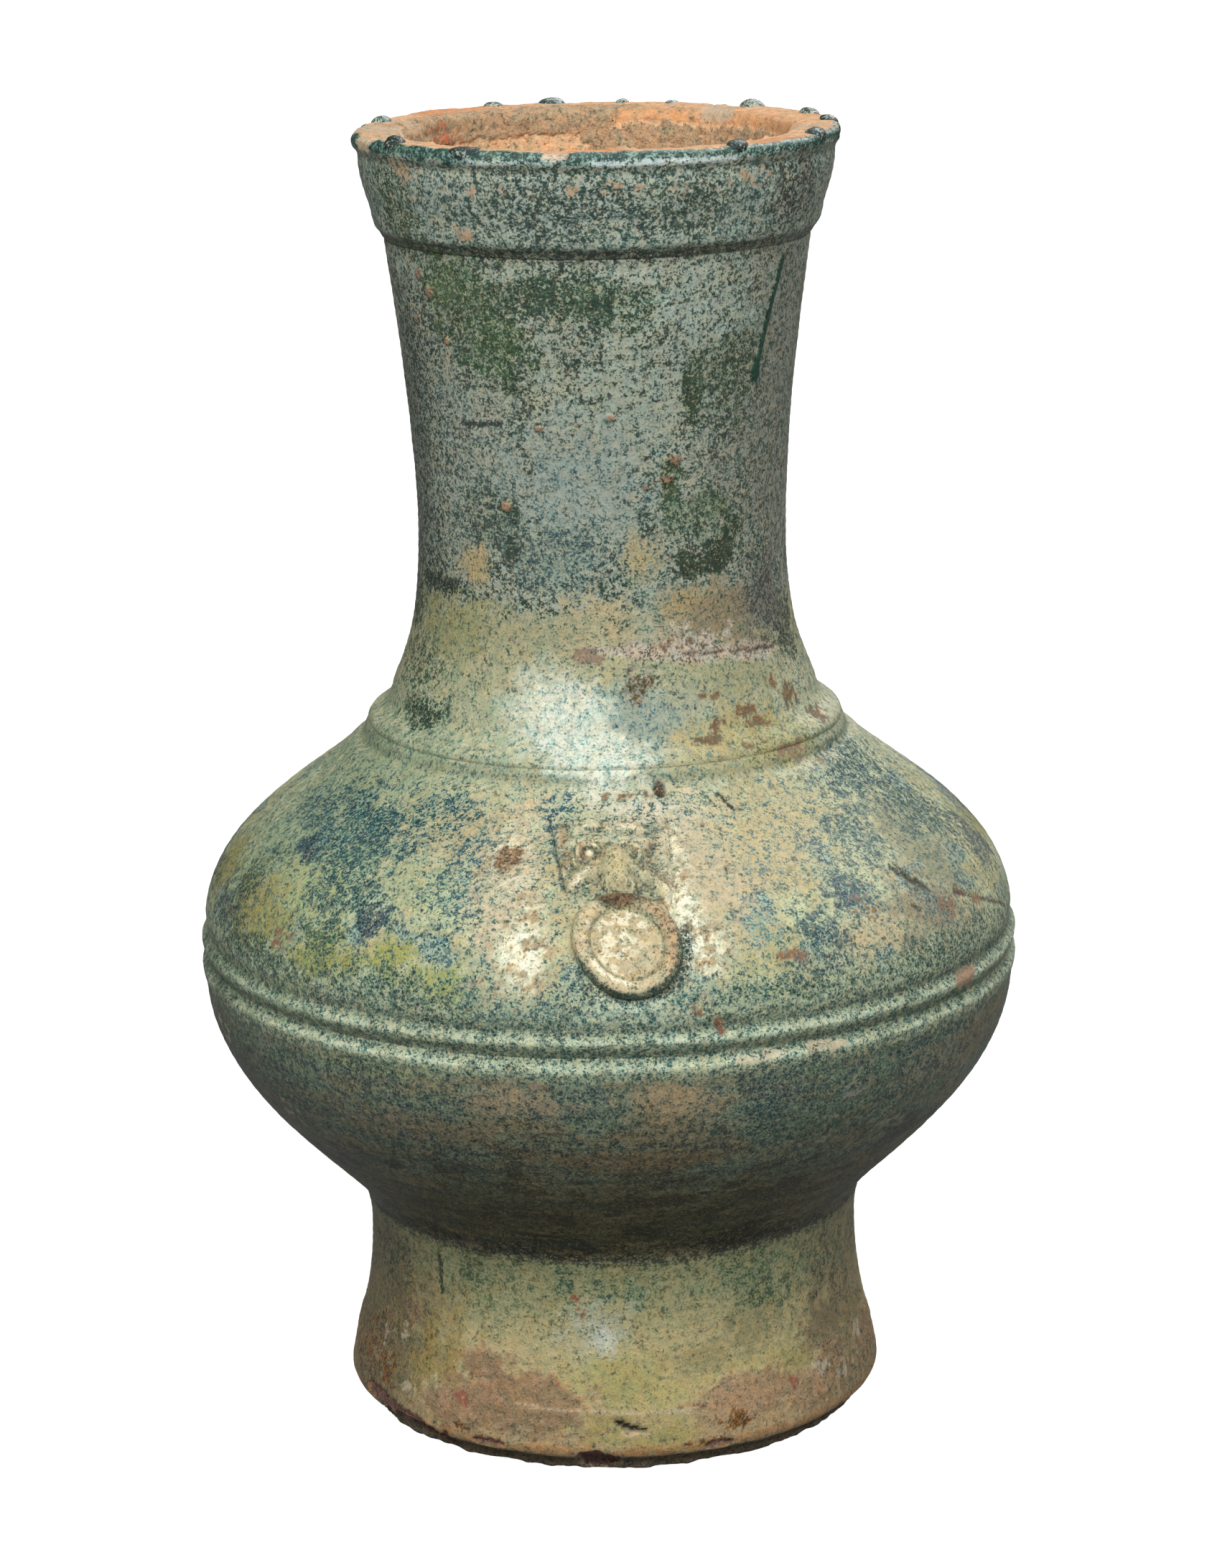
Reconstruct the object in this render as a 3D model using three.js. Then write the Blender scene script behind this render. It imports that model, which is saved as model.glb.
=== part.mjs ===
// A lead-glazed earthenware hu: a footed storage jar with a long waisted neck.
// It is thrown in sections that are luted one on the other, with a moulded mask
// and ring on the front and on the back of the shoulder.
// Millimetres, +Z up, the jar's axis on Z, the foot standing on z = 0 and the
// front facing -Y.
import * as THREE from 'three';

// Heights of the thrown sections, one standing on the other.
const FOOT_HEIGHT = 67;
const BOWL_HEIGHT = 80;
const SHOULDER_HEIGHT = 71.8;
const NECK_HEIGHT = 149.2;
const COLLAR_HEIGHT = 32;

// Foot: a set-back lip, a band above it, a waist and the top that carries the bowl.
const FOOT_LIP_RADIUS = 78.6;
const FOOT_LIP_HEIGHT = 4.2;
const FOOT_STEP = 3.4;
const FOOT_BAND_RADIUS = 84.3;
const FOOT_BAND_Z = 8;
const FOOT_WAIST_RADIUS = 76.9;
const FOOT_WAIST_BELOW_TOP = 11;
const FOOT_TOP_RADIUS = 78.4;

// Body: the belly, its two ribs with a groove between and above them, and the shoulder.
const BELLY_RADIUS = 126.1;
const RIB_CREST_RADIUS = 126.9;
const RIB_HEIGHT = 7.2;
const GROOVE_DEPTH = 1.4;
const GROOVE_TO_SHOULDER = 1.4;
const SHOULDER_TOP_RADIUS = 75.3;

// Two soft rings round the neck's base, with the joint in the groove between them.
const NECK_JOINT_RADIUS = 72.5;
const LOWER_RING_HEIGHT = 3.5;
const LOWER_RING_SWELL = 0.7;
const UPPER_RING_HEIGHT = 6;
const UPPER_RING_SWELL = 1;
const NECK_BASE_RADIUS = 68;

// Neck, collar and mouth.
const THROAT_RADIUS = 56.4;
const THROAT_ABOVE_JOINT = 61;
const CREASE_RADIUS = 64.4;
const COLLAR_STEP = 2.7;
const COLLAR_STEP_HEIGHT = 5;
const COLLAR_TOP_RADIUS = 71.5;
const LIP_HEIGHT = 7;
const LIP_RADIUS = 73.4;
const LIP_WIDEST_BELOW_RIM = 2.3;
const LIP_TOP_ROUNDING = 2.4;
const RIM_FLAT_WIDTH = 5.6;
const RIM_SLOPE_WIDTH = 5.4;
const RIM_SLOPE_DROP = 1.1;
const RIM_INNER_ROUNDING = 1.5;

// Fullness of the curves: how far each one runs straight on from its end
// before it bends.
const FOOT_FLANK_LOW = 14;
const FOOT_FLANK_HIGH = 25;
const BOWL_LOW = 10.5;
const BOWL_HIGH = 35;
const SHOULDER_LOW = 30;
const SHOULDER_HIGH = 22;
const SHOULDER_HIGH_SLOPE = 49;
const NECK_LOW = 18;
const NECK_LOW_SLOPE = 66;
const NECK_WAIST_LOW = 32;
const NECK_WAIST_HIGH = 26;
const NECK_HIGH = 26;
const NECK_HIGH_SLOPE = 97.5;

// Wall thicknesses.
const FOOT_WALL = 13;
const BODY_WALL = 9;
const BOWL_CORNER_WALL = 14;
const NECK_JOINT_WALL = 12;
const NECK_WALL = 8.5;
const FLOOR_THICKNESS = 11;

// The sprig: a mask holding a ring in its nose, pressed in one mould and luted
// on askew, so that it leans left by its skew for each unit up. Its places are
// measured up and across from the ring's centre, along the shoulder's surface.
const SPRIG_TURN = 2.6;
const SPRIG_SKEW = 0.077;
const SPRIG_GAP = 0.3;
const PAD_THICKNESS = 1;
const PAD_EDGE = 1.6;
const RING_ABOVE_JOINT = 31.8;
const RING_RADIUS = 16.2;
const RING_BAR = 5.6;
const RING_RELIEF = 2.1;
const DISC_RELIEF = 0.7;
const MASK_HALF_WIDTH = 17.6;
const MASK_BOTTOM_HALF_WIDTH = 15.5;
const MASK_BOTTOM = 19;
const MASK_TOP = 47;
const MASK_CORNER = 4;
const NOSE = { up: 22.5, width: 5.4, height: 8.5, relief: 2.8 };
const EYE = { up: 33.3, across: 4.4, radius: 3.8, relief: 1.3 };
const HORN = { up: 36, across: 12.5, width: 4, height: 9, relief: 1.2 };
const CHEEK = { up: 25, across: 9.5, slope: 0.75, width: 3, relief: 1 };

// Glaze beads on the rim: the jar was fired mouth down, so the glaze ran to the
// rim and pooled there. Each has its angle round the rim in degrees from +X,
// half its length along the rim and its height.
const BEAD_HALF_WIDTH = 2.6;
const BEAD_EDGE_MARGIN = 0.2;
const BEADS = [
  { angle: -122, half: 4.6, height: 2.3 },
  { angle: -146, half: 2.6, height: 1.4 },
  { angle: 158, half: 2.8, height: 1.4 },
  { angle: 117, half: 3.3, height: 1.8 },
  { angle: 101, half: 4.2, height: 2.3 },
  { angle: 83, half: 2.4, height: 1.3 },
  { angle: 70, half: 2.4, height: 1.2 },
  { angle: 46, half: 4.6, height: 2.6 },
  { angle: 22, half: 3.8, height: 2.1 },
  { angle: 6, half: 3.6, height: 2.0 },
  { angle: -24, half: 4.4, height: 2.0 },
  { angle: -55, half: 4.0, height: 2.2 },
];

// Fineness of the faceted surfaces.
const ROUND_SEGMENTS = 52;
const FLANK_STEPS = 7;
const MOULDING_STEPS = 3;
const INSIDE_STEPS = 4;
const SPRIG_RINGS = 16;
const SPRIG_BACK_RINGS = 5;
const SPRIG_LOW_TURNS = 26;
const SPRIG_HIGH_TURNS = 34;
const BEAD_SEGMENTS = 10;
const BEAD_STEPS = 3;

// Glaze and clay colours.
const FOOT_COLOUR = 0x98905f;
const BOWL_COLOUR = 0x7f8a6c;
const SHOULDER_COLOUR = 0xa9a57c;
const NECK_COLOUR = 0x7b8b78;
const COLLAR_COLOUR = 0x62766a;
const SPRIG_COLOUR = 0xb3a986;
const BEAD_COLOUR = 0x6d8a7c;

// Levels of the joints between the sections.
const FOOT_TOP = FOOT_HEIGHT;
const BELLY_JOINT = FOOT_TOP + BOWL_HEIGHT;
const NECK_JOINT = BELLY_JOINT + SHOULDER_HEIGHT;
const CREASE = NECK_JOINT + NECK_HEIGHT;
const RIM_TOP = CREASE + COLLAR_HEIGHT;

const { degToRad, lerp, smoothstep } = THREE.MathUtils;
const point = (radius, height) => new THREE.Vector2(radius, height);
const part = new THREE.Group();

function addMesh(name, geometry, color, roughness) {
  const material = new THREE.MeshStandardMaterial({ color, roughness, metalness: 0 });
  const mesh = new THREE.Mesh(geometry, material);
  mesh.name = name;
  part.add(mesh);
  return mesh;
}

// A point a distance from another, at an angle above the horizontal in degrees.
function away(from, distance, angle) {
  const turn = degToRad(angle);
  return point(from.x + distance * Math.cos(turn), from.y + distance * Math.sin(turn));
}

// A flank: a curve between two points that leaves and arrives along its handles.
function flank(start, startHandle, endHandle, end, steps = FLANK_STEPS) {
  return new THREE.CubicBezierCurve(start, startHandle, endHandle, end).getPoints(steps);
}

function soft(start, corner, end) {
  return new THREE.QuadraticBezierCurve(start, corner, end).getPoints(MOULDING_STEPS);
}

// A rib's rounded outline, which may start and end at different radii.
function rib(bottom, top, crestRadius) {
  const middle = (bottom.y + top.y) / 2;
  const halfHeight = (top.y - bottom.y) / 2;
  const points = [];
  for (let i = 0; i <= 2 * MOULDING_STEPS; i += 1) {
    const turn = (Math.PI * i) / (2 * MOULDING_STEPS);
    const base = i < MOULDING_STEPS ? bottom.x : top.x;
    const radius = base + (crestRadius - base) * Math.sin(turn);
    points.push(point(radius, middle - halfHeight * Math.cos(turn)));
  }
  return points;
}

// Joins runs of points, leaving out the points that repeat where two runs meet.
function join(...runs) {
  const points = [];
  for (const next of runs.flat()) {
    const last = points[points.length - 1];
    if (!last || last.distanceTo(next) > 1e-6) {
      points.push(next);
    }
  }
  return points;
}

function radiusAt(outline, height) {
  for (let i = 1; i < outline.length; i += 1) {
    const low = outline[i - 1];
    const high = outline[i];
    if (height >= low.y && height <= high.y && high.y > low.y) {
      return lerp(low.x, high.x, (height - low.y) / (high.y - low.y));
    }
  }
  return outline[outline.length - 1].x;
}

// The inside of a wall from the top down: the outer outline drawn in by the
// wall, which changes evenly from the bottom to the top.
function insideOf(outline, bottomWall, topWall, bottom, top) {
  const points = [];
  for (let i = INSIDE_STEPS; i >= 0; i -= 1) {
    const share = i / INSIDE_STEPS;
    const height = lerp(bottom, top, share);
    points.push(point(radiusAt(outline, height) - lerp(bottomWall, topWall, share), height));
  }
  return points;
}

// Turns an outline about Z. An outline that doesn't start on the axis is closed.
function turned(outline) {
  const closed = outline[0].x > 0 ? [...outline, outline[0].clone()] : outline;
  const geometry = new THREE.LatheGeometry(closed, ROUND_SEGMENTS);
  geometry.rotateX(Math.PI / 2);
  return geometry;
}

// Foot: a hollow flaring pedestal, standing on its set-back unglazed lip.
const footBand = point(FOOT_BAND_RADIUS, FOOT_BAND_Z);
const footWaist = point(FOOT_WAIST_RADIUS, FOOT_TOP - FOOT_WAIST_BELOW_TOP);
const footTop = point(FOOT_TOP_RADIUS, FOOT_TOP);
const footLipTop = point(FOOT_LIP_RADIUS + 1, FOOT_LIP_HEIGHT);
const footStep = point(FOOT_LIP_RADIUS + FOOT_STEP, FOOT_LIP_HEIGHT + 0.4);
const footOutside = join(
  [point(FOOT_LIP_RADIUS, 0), footLipTop],
  soft(footStep, point(FOOT_BAND_RADIUS, FOOT_LIP_HEIGHT + 1), footBand),
  flank(
    footBand,
    away(footBand, FOOT_FLANK_LOW, 100),
    away(footWaist, FOOT_FLANK_HIGH, -90),
    footWaist,
  ),
  soft(footWaist, point(FOOT_WAIST_RADIUS, (footWaist.y + FOOT_TOP) / 2), footTop),
);
const footInside = insideOf(footOutside, FOOT_WALL, FOOT_WALL, 0, FOOT_TOP);
addMesh('foot_ring', turned([...footOutside, ...footInside]), FOOT_COLOUR, 0.55);

// Bowl: the lower half of the belly, with the jar's floor and the lower rib.
const grooveRadius = RIB_CREST_RADIUS - GROOVE_DEPTH;
const bellyJoint = point(grooveRadius, BELLY_JOINT);
const ribFoot = point(BELLY_RADIUS, BELLY_JOINT - RIB_HEIGHT);
const bowlOutside = join(
  flank(
    footTop,
    away(footTop, BOWL_LOW, 90),
    away(ribFoot, BOWL_HIGH, -90),
    ribFoot,
    FLANK_STEPS + 3,
  ),
  rib(ribFoot, bellyJoint, RIB_CREST_RADIUS),
);
const floorTop = FOOT_TOP + FLOOR_THICKNESS;
const bowlInside = insideOf(bowlOutside, BOWL_CORNER_WALL, BODY_WALL, floorTop, BELLY_JOINT);
const bowlOutline = [point(0, FOOT_TOP), ...bowlOutside, ...bowlInside, point(0, floorTop)];
addMesh('lower_belly', turned(bowlOutline), BOWL_COLOUR, 0.45);

// Shoulder: the upper half of the belly with the upper rib, closing in to the
// lower ring of the neck's base.
const grooveTop = point(grooveRadius, BELLY_JOINT + RIB_HEIGHT);
const shoulderFoot = point(BELLY_RADIUS, grooveTop.y + GROOVE_TO_SHOULDER);
const shoulderTop = point(SHOULDER_TOP_RADIUS, NECK_JOINT - LOWER_RING_HEIGHT);
const neckJoint = point(NECK_JOINT_RADIUS, NECK_JOINT);
const shoulderFlank = flank(
  shoulderFoot,
  away(shoulderFoot, SHOULDER_LOW, 90),
  away(shoulderTop, SHOULDER_HIGH, -SHOULDER_HIGH_SLOPE),
  shoulderTop,
  FLANK_STEPS + 5,
);
const lowerRingSwell = point(
  (SHOULDER_TOP_RADIUS + NECK_JOINT_RADIUS) / 2 + LOWER_RING_SWELL,
  NECK_JOINT - LOWER_RING_HEIGHT * 0.4,
);
const shoulderOutside = join(
  rib(bellyJoint, grooveTop, RIB_CREST_RADIUS),
  shoulderFlank,
  soft(shoulderTop, lowerRingSwell, neckJoint),
);
const shoulderInside = insideOf(
  shoulderOutside,
  BODY_WALL,
  NECK_JOINT_WALL,
  BELLY_JOINT,
  NECK_JOINT,
);
const shoulderOutline = [...shoulderOutside, ...shoulderInside];
addMesh('upper_belly', turned(shoulderOutline), SHOULDER_COLOUR, 0.4);

// Neck: the upper ring of its base, the waist and the widening up to the crease.
const neckBase = point(NECK_BASE_RADIUS, NECK_JOINT + UPPER_RING_HEIGHT);
const throat = point(THROAT_RADIUS, NECK_JOINT + THROAT_ABOVE_JOINT);
const crease = point(CREASE_RADIUS, CREASE);
const upperRingSwell = point(
  NECK_JOINT_RADIUS + UPPER_RING_SWELL,
  NECK_JOINT + UPPER_RING_HEIGHT * 0.2,
);
const neckOutside = join(
  soft(neckJoint, upperRingSwell, neckBase),
  flank(
    neckBase,
    away(neckBase, NECK_LOW, 180 - NECK_LOW_SLOPE),
    away(throat, NECK_WAIST_LOW, -90),
    throat,
    FLANK_STEPS - 1,
  ),
  flank(
    throat,
    away(throat, NECK_WAIST_HIGH, 90),
    away(crease, NECK_HIGH, -NECK_HIGH_SLOPE),
    crease,
    FLANK_STEPS - 2,
  ),
);
const neckInside = insideOf(neckOutside, NECK_JOINT_WALL, NECK_WALL, NECK_JOINT, CREASE);
addMesh('neck', turned([...neckOutside, ...neckInside]), NECK_COLOUR, 0.4);

// Collar: it steps out over the crease and flares to a rounded lip, whose top
// is flat outside and slopes into the mouth.
const collarFoot = point(CREASE_RADIUS + COLLAR_STEP, CREASE + COLLAR_STEP_HEIGHT);
const collarTop = point(COLLAR_TOP_RADIUS, RIM_TOP - LIP_HEIGHT);
const lipWidest = point(LIP_RADIUS, RIM_TOP - LIP_WIDEST_BELOW_RIM);
const rimFlatOutside = point(LIP_RADIUS - LIP_TOP_ROUNDING, RIM_TOP);
const rimFlatInside = point(rimFlatOutside.x - RIM_FLAT_WIDTH, RIM_TOP);
const rimInside = point(rimFlatInside.x - RIM_SLOPE_WIDTH, RIM_TOP - RIM_SLOPE_DROP);
const mouthWall = point(rimInside.x - RIM_INNER_ROUNDING, rimInside.y - RIM_INNER_ROUNDING);
const collarOutline = join(
  soft(crease, point(CREASE_RADIUS + COLLAR_STEP * 0.75, CREASE + 1.2), collarFoot),
  flank(
    collarFoot,
    away(collarFoot, COLLAR_STEP_HEIGHT, 77),
    away(collarTop, COLLAR_STEP_HEIGHT, -90),
    collarTop,
    MOULDING_STEPS,
  ),
  flank(
    collarTop,
    away(collarTop, 2.5, 80),
    away(lipWidest, 1.6, -90),
    lipWidest,
    MOULDING_STEPS,
  ),
  soft(lipWidest, point(LIP_RADIUS, RIM_TOP), rimFlatOutside),
  [rimFlatInside],
  soft(rimInside, point(mouthWall.x, rimInside.y), mouthWall),
  soft(
    mouthWall,
    point(CREASE_RADIUS - NECK_WALL + 1, (mouthWall.y + CREASE) / 2),
    point(CREASE_RADIUS - NECK_WALL, CREASE),
  ),
);
addMesh('mouth_collar', turned(collarOutline), COLLAR_COLOUR, 0.35);

// Walks along the shoulder's flank: the place a length above a height, and the
// direction that points straight out of the wall there.
function alongShoulder(startHeight, length) {
  const points = shoulderFlank;
  let index = 1;
  while (index < points.length - 1 && points[index].y < startHeight) {
    index += 1;
  }
  const rise = points[index].y - points[index - 1].y;
  const share = (startHeight - points[index - 1].y) / rise;
  let place = points[index - 1].clone().lerp(points[index], share);
  let left = Math.abs(length);
  const upwards = length >= 0;
  let next = upwards ? index : index - 1;
  while (left > place.distanceTo(points[next]) && next > 0 && next < points.length - 1) {
    left -= place.distanceTo(points[next]);
    place = points[next].clone();
    next += upwards ? 1 : -1;
  }
  const along = points[next].clone().sub(place).normalize();
  place.addScaledVector(along, left);
  const climb = upwards ? along : along.negate();
  return { place, outward: point(climb.y, -climb.x) };
}

// A soft hill: 1 in the middle, 0 from the given reach outwards.
function hill(distance, reach) {
  const share = Math.min(Math.abs(distance) / reach, 1);
  return 0.5 + 0.5 * Math.cos(Math.PI * share);
}

// How far the sprig's relief stands out of its pad at a place.
function relief(across, up) {
  const side = Math.abs(across);
  const barMiddle = RING_RADIUS - RING_BAR / 2;
  const fromCentre = Math.hypot(across, up);
  const ring = RING_RELIEF * hill(fromCentre - barMiddle, RING_BAR / 2);
  const disc = DISC_RELIEF * hill(fromCentre, barMiddle - RING_BAR / 2);
  const noseReach = Math.hypot(across / NOSE.width, (up - NOSE.up) / NOSE.height);
  const nose = NOSE.relief * hill(noseReach, 1);
  const eye = EYE.relief * hill(Math.hypot(side - EYE.across, up - EYE.up), EYE.radius);
  const hornReach = Math.hypot((side - HORN.across) / HORN.width, (up - HORN.up) / HORN.height);
  const horn = HORN.relief * hill(hornReach, 1);
  const cheekLine = up - CHEEK.up + CHEEK.slope * (side - CHEEK.across);
  const cheek = CHEEK.relief * hill(cheekLine, CHEEK.width) * smoothstep(side, 3, 6);
  const mask = smoothstep(up, MASK_BOTTOM - 3, MASK_BOTTOM + 1) * Math.max(eye, horn, cheek);
  return Math.max(ring, disc, nose, mask);
}

// How far the pad reaches from the ring's centre in a direction: the ring's
// edge below, the mask's rounded trapezium above.
function padReach(turn) {
  const sideways = Math.abs(Math.cos(turn));
  const upwards = Math.sin(turn);
  if (upwards <= 0) {
    return RING_RADIUS;
  }
  const topReach = MASK_TOP / upwards;
  const flare = (MASK_HALF_WIDTH - MASK_BOTTOM_HALF_WIDTH) / (MASK_TOP - MASK_BOTTOM);
  const foot = MASK_BOTTOM_HALF_WIDTH - flare * MASK_BOTTOM;
  const sideReach = foot / Math.max(sideways - flare * upwards, 0.05);
  const cornerSoftness = 1 / MASK_CORNER;
  const corner = Math.log(
    Math.exp(-cornerSoftness * topReach) + Math.exp(-cornerSoftness * sideReach),
  );
  const maskReach = -corner / cornerSoftness;
  const opens = smoothstep(upwards, 0.45, 0.72);
  return lerp(RING_RADIUS, Math.max(maskReach, RING_RADIUS), opens);
}

// The sprig's directions: wide steps round the ring, narrow ones over the mask.
function sprigTurns() {
  const turns = [];
  const start = degToRad(28);
  const high = Math.PI - 2 * start;
  for (let i = 0; i < SPRIG_HIGH_TURNS; i += 1) {
    turns.push(start + (high * i) / SPRIG_HIGH_TURNS);
  }
  for (let i = 0; i < SPRIG_LOW_TURNS; i += 1) {
    turns.push(start + high + ((2 * Math.PI - high) * i) / SPRIG_LOW_TURNS);
  }
  return turns;
}

// The sprig is a closed pad: its front carries the relief and its back follows
// the shoulder a gap away. Front and back share their edge's directions.
function sprigGeometry() {
  const turns = sprigTurns();
  const around = turns.length;
  const centreHeight = BELLY_JOINT + RING_ABOVE_JOINT;
  const positions = [];
  const faces = [];

  const addPoint = (across, up, lift) => {
    const { place, outward } = alongShoulder(centreHeight, up);
    const angle = (across - SPRIG_SKEW * up) / place.x;
    const spot = place.addScaledVector(outward, SPRIG_GAP + lift);
    positions.push(spot.x * Math.sin(angle), -spot.x * Math.cos(angle), spot.y);
  };

  const addSide = (rings, liftAt) => {
    const first = positions.length / 3;
    addPoint(0, 0, liftAt(0, 0, 0));
    for (let ring = 1; ring <= rings; ring += 1) {
      for (const turn of turns) {
        const reach = (padReach(turn) * ring) / rings;
        const across = reach * Math.cos(turn);
        const up = reach * Math.sin(turn);
        addPoint(across, up, liftAt(across, up, padReach(turn) - reach));
      }
    }
    return (ring, i) => (ring === 0 ? first : first + 1 + (ring - 1) * around + (i % around));
  };

  const frontLift = (across, up, toEdge) => {
    const rounded = 0.5 + 0.5 * smoothstep(toEdge, 0, PAD_EDGE);
    return PAD_THICKNESS * rounded + relief(across, up);
  };
  const front = addSide(SPRIG_RINGS, frontLift);
  const back = addSide(SPRIG_BACK_RINGS, () => 0);
  const edge = { front: SPRIG_RINGS, back: SPRIG_BACK_RINGS };

  for (let i = 0; i < around; i += 1) {
    faces.push(front(0, 0), front(1, i), front(1, i + 1));
    for (let ring = 1; ring < edge.front; ring += 1) {
      faces.push(front(ring, i), front(ring + 1, i), front(ring + 1, i + 1));
      faces.push(front(ring, i), front(ring + 1, i + 1), front(ring, i + 1));
    }
    faces.push(back(0, 0), back(1, i + 1), back(1, i));
    for (let ring = 1; ring < edge.back; ring += 1) {
      faces.push(back(ring, i), back(ring + 1, i + 1), back(ring + 1, i));
      faces.push(back(ring, i), back(ring, i + 1), back(ring + 1, i + 1));
    }
    faces.push(front(edge.front, i), back(edge.back, i), back(edge.back, i + 1));
    faces.push(front(edge.front, i), back(edge.back, i + 1), front(edge.front, i + 1));
  }
  const geometry = new THREE.BufferGeometry();
  geometry.setAttribute('position', new THREE.Float32BufferAttribute(positions, 3));
  geometry.setIndex(faces);
  return geometry;
}

for (const [name, halfTurn] of [['mask_ring_front', 0], ['mask_ring_back', Math.PI]]) {
  const sprig = addMesh(name, sprigGeometry(), SPRIG_COLOUR, 0.5);
  sprig.rotation.z = halfTurn + degToRad(SPRIG_TURN);
}

// A bead: a drop that flattened as it set, lying on the flat of the rim.
function beadGeometry(half, height) {
  const outline = [point(0, 0)];
  for (let i = 0; i < BEAD_STEPS; i += 1) {
    const turn = (Math.PI / 2) * (i / BEAD_STEPS);
    outline.push(point(Math.cos(turn), Math.sin(turn)));
  }
  outline.push(point(0, 1));
  const geometry = new THREE.LatheGeometry(outline, BEAD_SEGMENTS);
  geometry.rotateX(Math.PI / 2);
  geometry.scale(BEAD_HALF_WIDTH, half, height);
  return geometry;
}

const beadCircle = rimFlatOutside.x - BEAD_HALF_WIDTH - BEAD_EDGE_MARGIN;
BEADS.forEach(({ angle, half, height }, index) => {
  const number = String(index + 1).padStart(2, '0');
  const turn = degToRad(angle);
  const bead = addMesh(`rim_glaze_bead_${number}`, beadGeometry(half, height), BEAD_COLOUR, 0.2);
  bead.position.set(beadCircle * Math.cos(turn), beadCircle * Math.sin(turn), RIM_TOP);
  bead.rotation.z = turn;
});

export default part;
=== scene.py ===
import itertools
import math

import bpy
import numpy as np
from mathutils import Matrix, Vector


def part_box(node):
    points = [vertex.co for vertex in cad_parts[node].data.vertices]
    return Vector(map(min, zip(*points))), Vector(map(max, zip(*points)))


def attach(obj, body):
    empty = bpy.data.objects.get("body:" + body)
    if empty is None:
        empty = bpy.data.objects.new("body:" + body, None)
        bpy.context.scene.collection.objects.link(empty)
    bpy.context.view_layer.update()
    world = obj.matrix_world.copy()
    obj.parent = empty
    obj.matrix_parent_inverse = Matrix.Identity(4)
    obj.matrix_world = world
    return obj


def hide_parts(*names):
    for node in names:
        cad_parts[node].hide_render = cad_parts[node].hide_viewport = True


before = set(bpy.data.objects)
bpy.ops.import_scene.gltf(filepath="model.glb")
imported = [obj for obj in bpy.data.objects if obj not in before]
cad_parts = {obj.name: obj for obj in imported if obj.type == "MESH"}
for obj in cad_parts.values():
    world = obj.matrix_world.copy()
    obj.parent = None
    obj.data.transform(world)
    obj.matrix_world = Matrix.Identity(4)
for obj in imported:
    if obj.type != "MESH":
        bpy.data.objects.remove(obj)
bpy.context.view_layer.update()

# The work is in millimetres, and MM turns it into metres as each mesh is made.
# Angles go round from the front (-Y), towards +X, in degrees.
MM = 0.001

# Levels of the joints between the thrown sections, from the frame.
FOOT_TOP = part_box("foot_ring")[1].z / MM
BELLY_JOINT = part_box("lower_belly")[1].z / MM
NECK_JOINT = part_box("upper_belly")[1].z / MM
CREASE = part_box("neck")[1].z / MM
RIM_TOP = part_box("mouth_collar")[1].z / MM

# Columns round each thrown section, and the steps between its rows: on the glaze,
# on the collar with its rim, on wide bare walls and on narrow ones.
SEGMENTS = 900
ROW_STEP = 0.85
RIM_STEP = 0.6
WIDE_STEP = 3.0
NARROW_STEP = 2.0
# A wall that goes in to the axis ends this near to it and is closed there.
NEAR_AXIS = 2

# What the gradient noise looks up.
HASH = np.random.RandomState(7).permutation(256)
DIRECTIONS = np.random.RandomState(11).normal(size=(256, 3))
DIRECTIONS = (DIRECTIONS / np.linalg.norm(DIRECTIONS, axis=1)[:, None]).astype(np.float32)


def gradient_noise(points):
    """Smooth noise, about -0.7 to 0.7, with one cell a unit."""
    cell = np.floor(points).astype(np.int64)
    inside = (points - cell).astype(np.float32)
    fade = inside ** 3 * (inside * (inside * 6 - 15) + 10)
    total = np.zeros(len(points), np.float32)
    for corner in itertools.product((0, 1), repeat=3):
        offset = np.array(corner)
        x, y, z = (cell + offset).T
        key = HASH[(HASH[(HASH[x & 255] + y) & 255] + z) & 255]
        weight = np.prod(np.where(offset, fade, 1 - fade), axis=1)
        total += weight * np.einsum("ij,ij->i", DIRECTIONS[key], inside - offset)
    return total


def cloud(points, size, octaves=3, seed=0, stretch=(1, 1, 1)):
    """Fractal noise, about -1 to 1, whose largest lumps are size millimetres across."""
    scaled = points / (size * np.array(stretch)) + seed * 17.31
    total = np.zeros(len(points), np.float32)
    for octave in range(octaves):
        total += gradient_noise(scaled * 2 ** octave + octave * 5.7) * 0.55 ** octave
    return total * 1.8


def ramp(value, low, high):
    """0 below low and 1 above high, with a smooth step between them."""
    share = np.clip((value - low) / (high - low), 0, 1)
    return share * share * (3 - 2 * share)


def bell(value, middle, width):
    """1 at the middle, falling off evenly on both sides."""
    return np.exp(-((value - middle) / width) ** 2)


def between(height, low, high, blur):
    """1 between two levels and 0 outside them."""
    return ramp(height, low - blur, low + blur) * (1 - ramp(height, high - blur, high + blur))


def bezier(start, handle_a, handle_b, end, count=200):
    """A curve between two places, bent by a handle at each end."""
    t = np.linspace(0, 1, count)[:, None]
    start, handle_a, handle_b, end = map(np.array, (start, handle_a, handle_b, end))
    return ((1 - t) ** 3 * start + 3 * (1 - t) ** 2 * t * handle_a
            + 3 * (1 - t) * t ** 2 * handle_b + t ** 3 * end)


def soft(start, corner, end, count=60):
    """A rounded corner from one place to another."""
    t = np.linspace(0, 1, count)[:, None]
    start, corner, end = map(np.array, (start, corner, end))
    return (1 - t) ** 2 * start + 2 * (1 - t) * t * corner + t ** 2 * end


def away(start, distance, angle):
    """The place at a distance from another: 0 degrees is outward and 90 is up."""
    turn = math.radians(angle)
    return (start[0] + distance * math.cos(turn), start[1] + distance * math.sin(turn))


def distances(outline):
    """How far along an outline each of its places is."""
    return np.concatenate([[0], np.cumsum(np.linalg.norm(np.diff(outline, axis=0), axis=1))])


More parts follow.
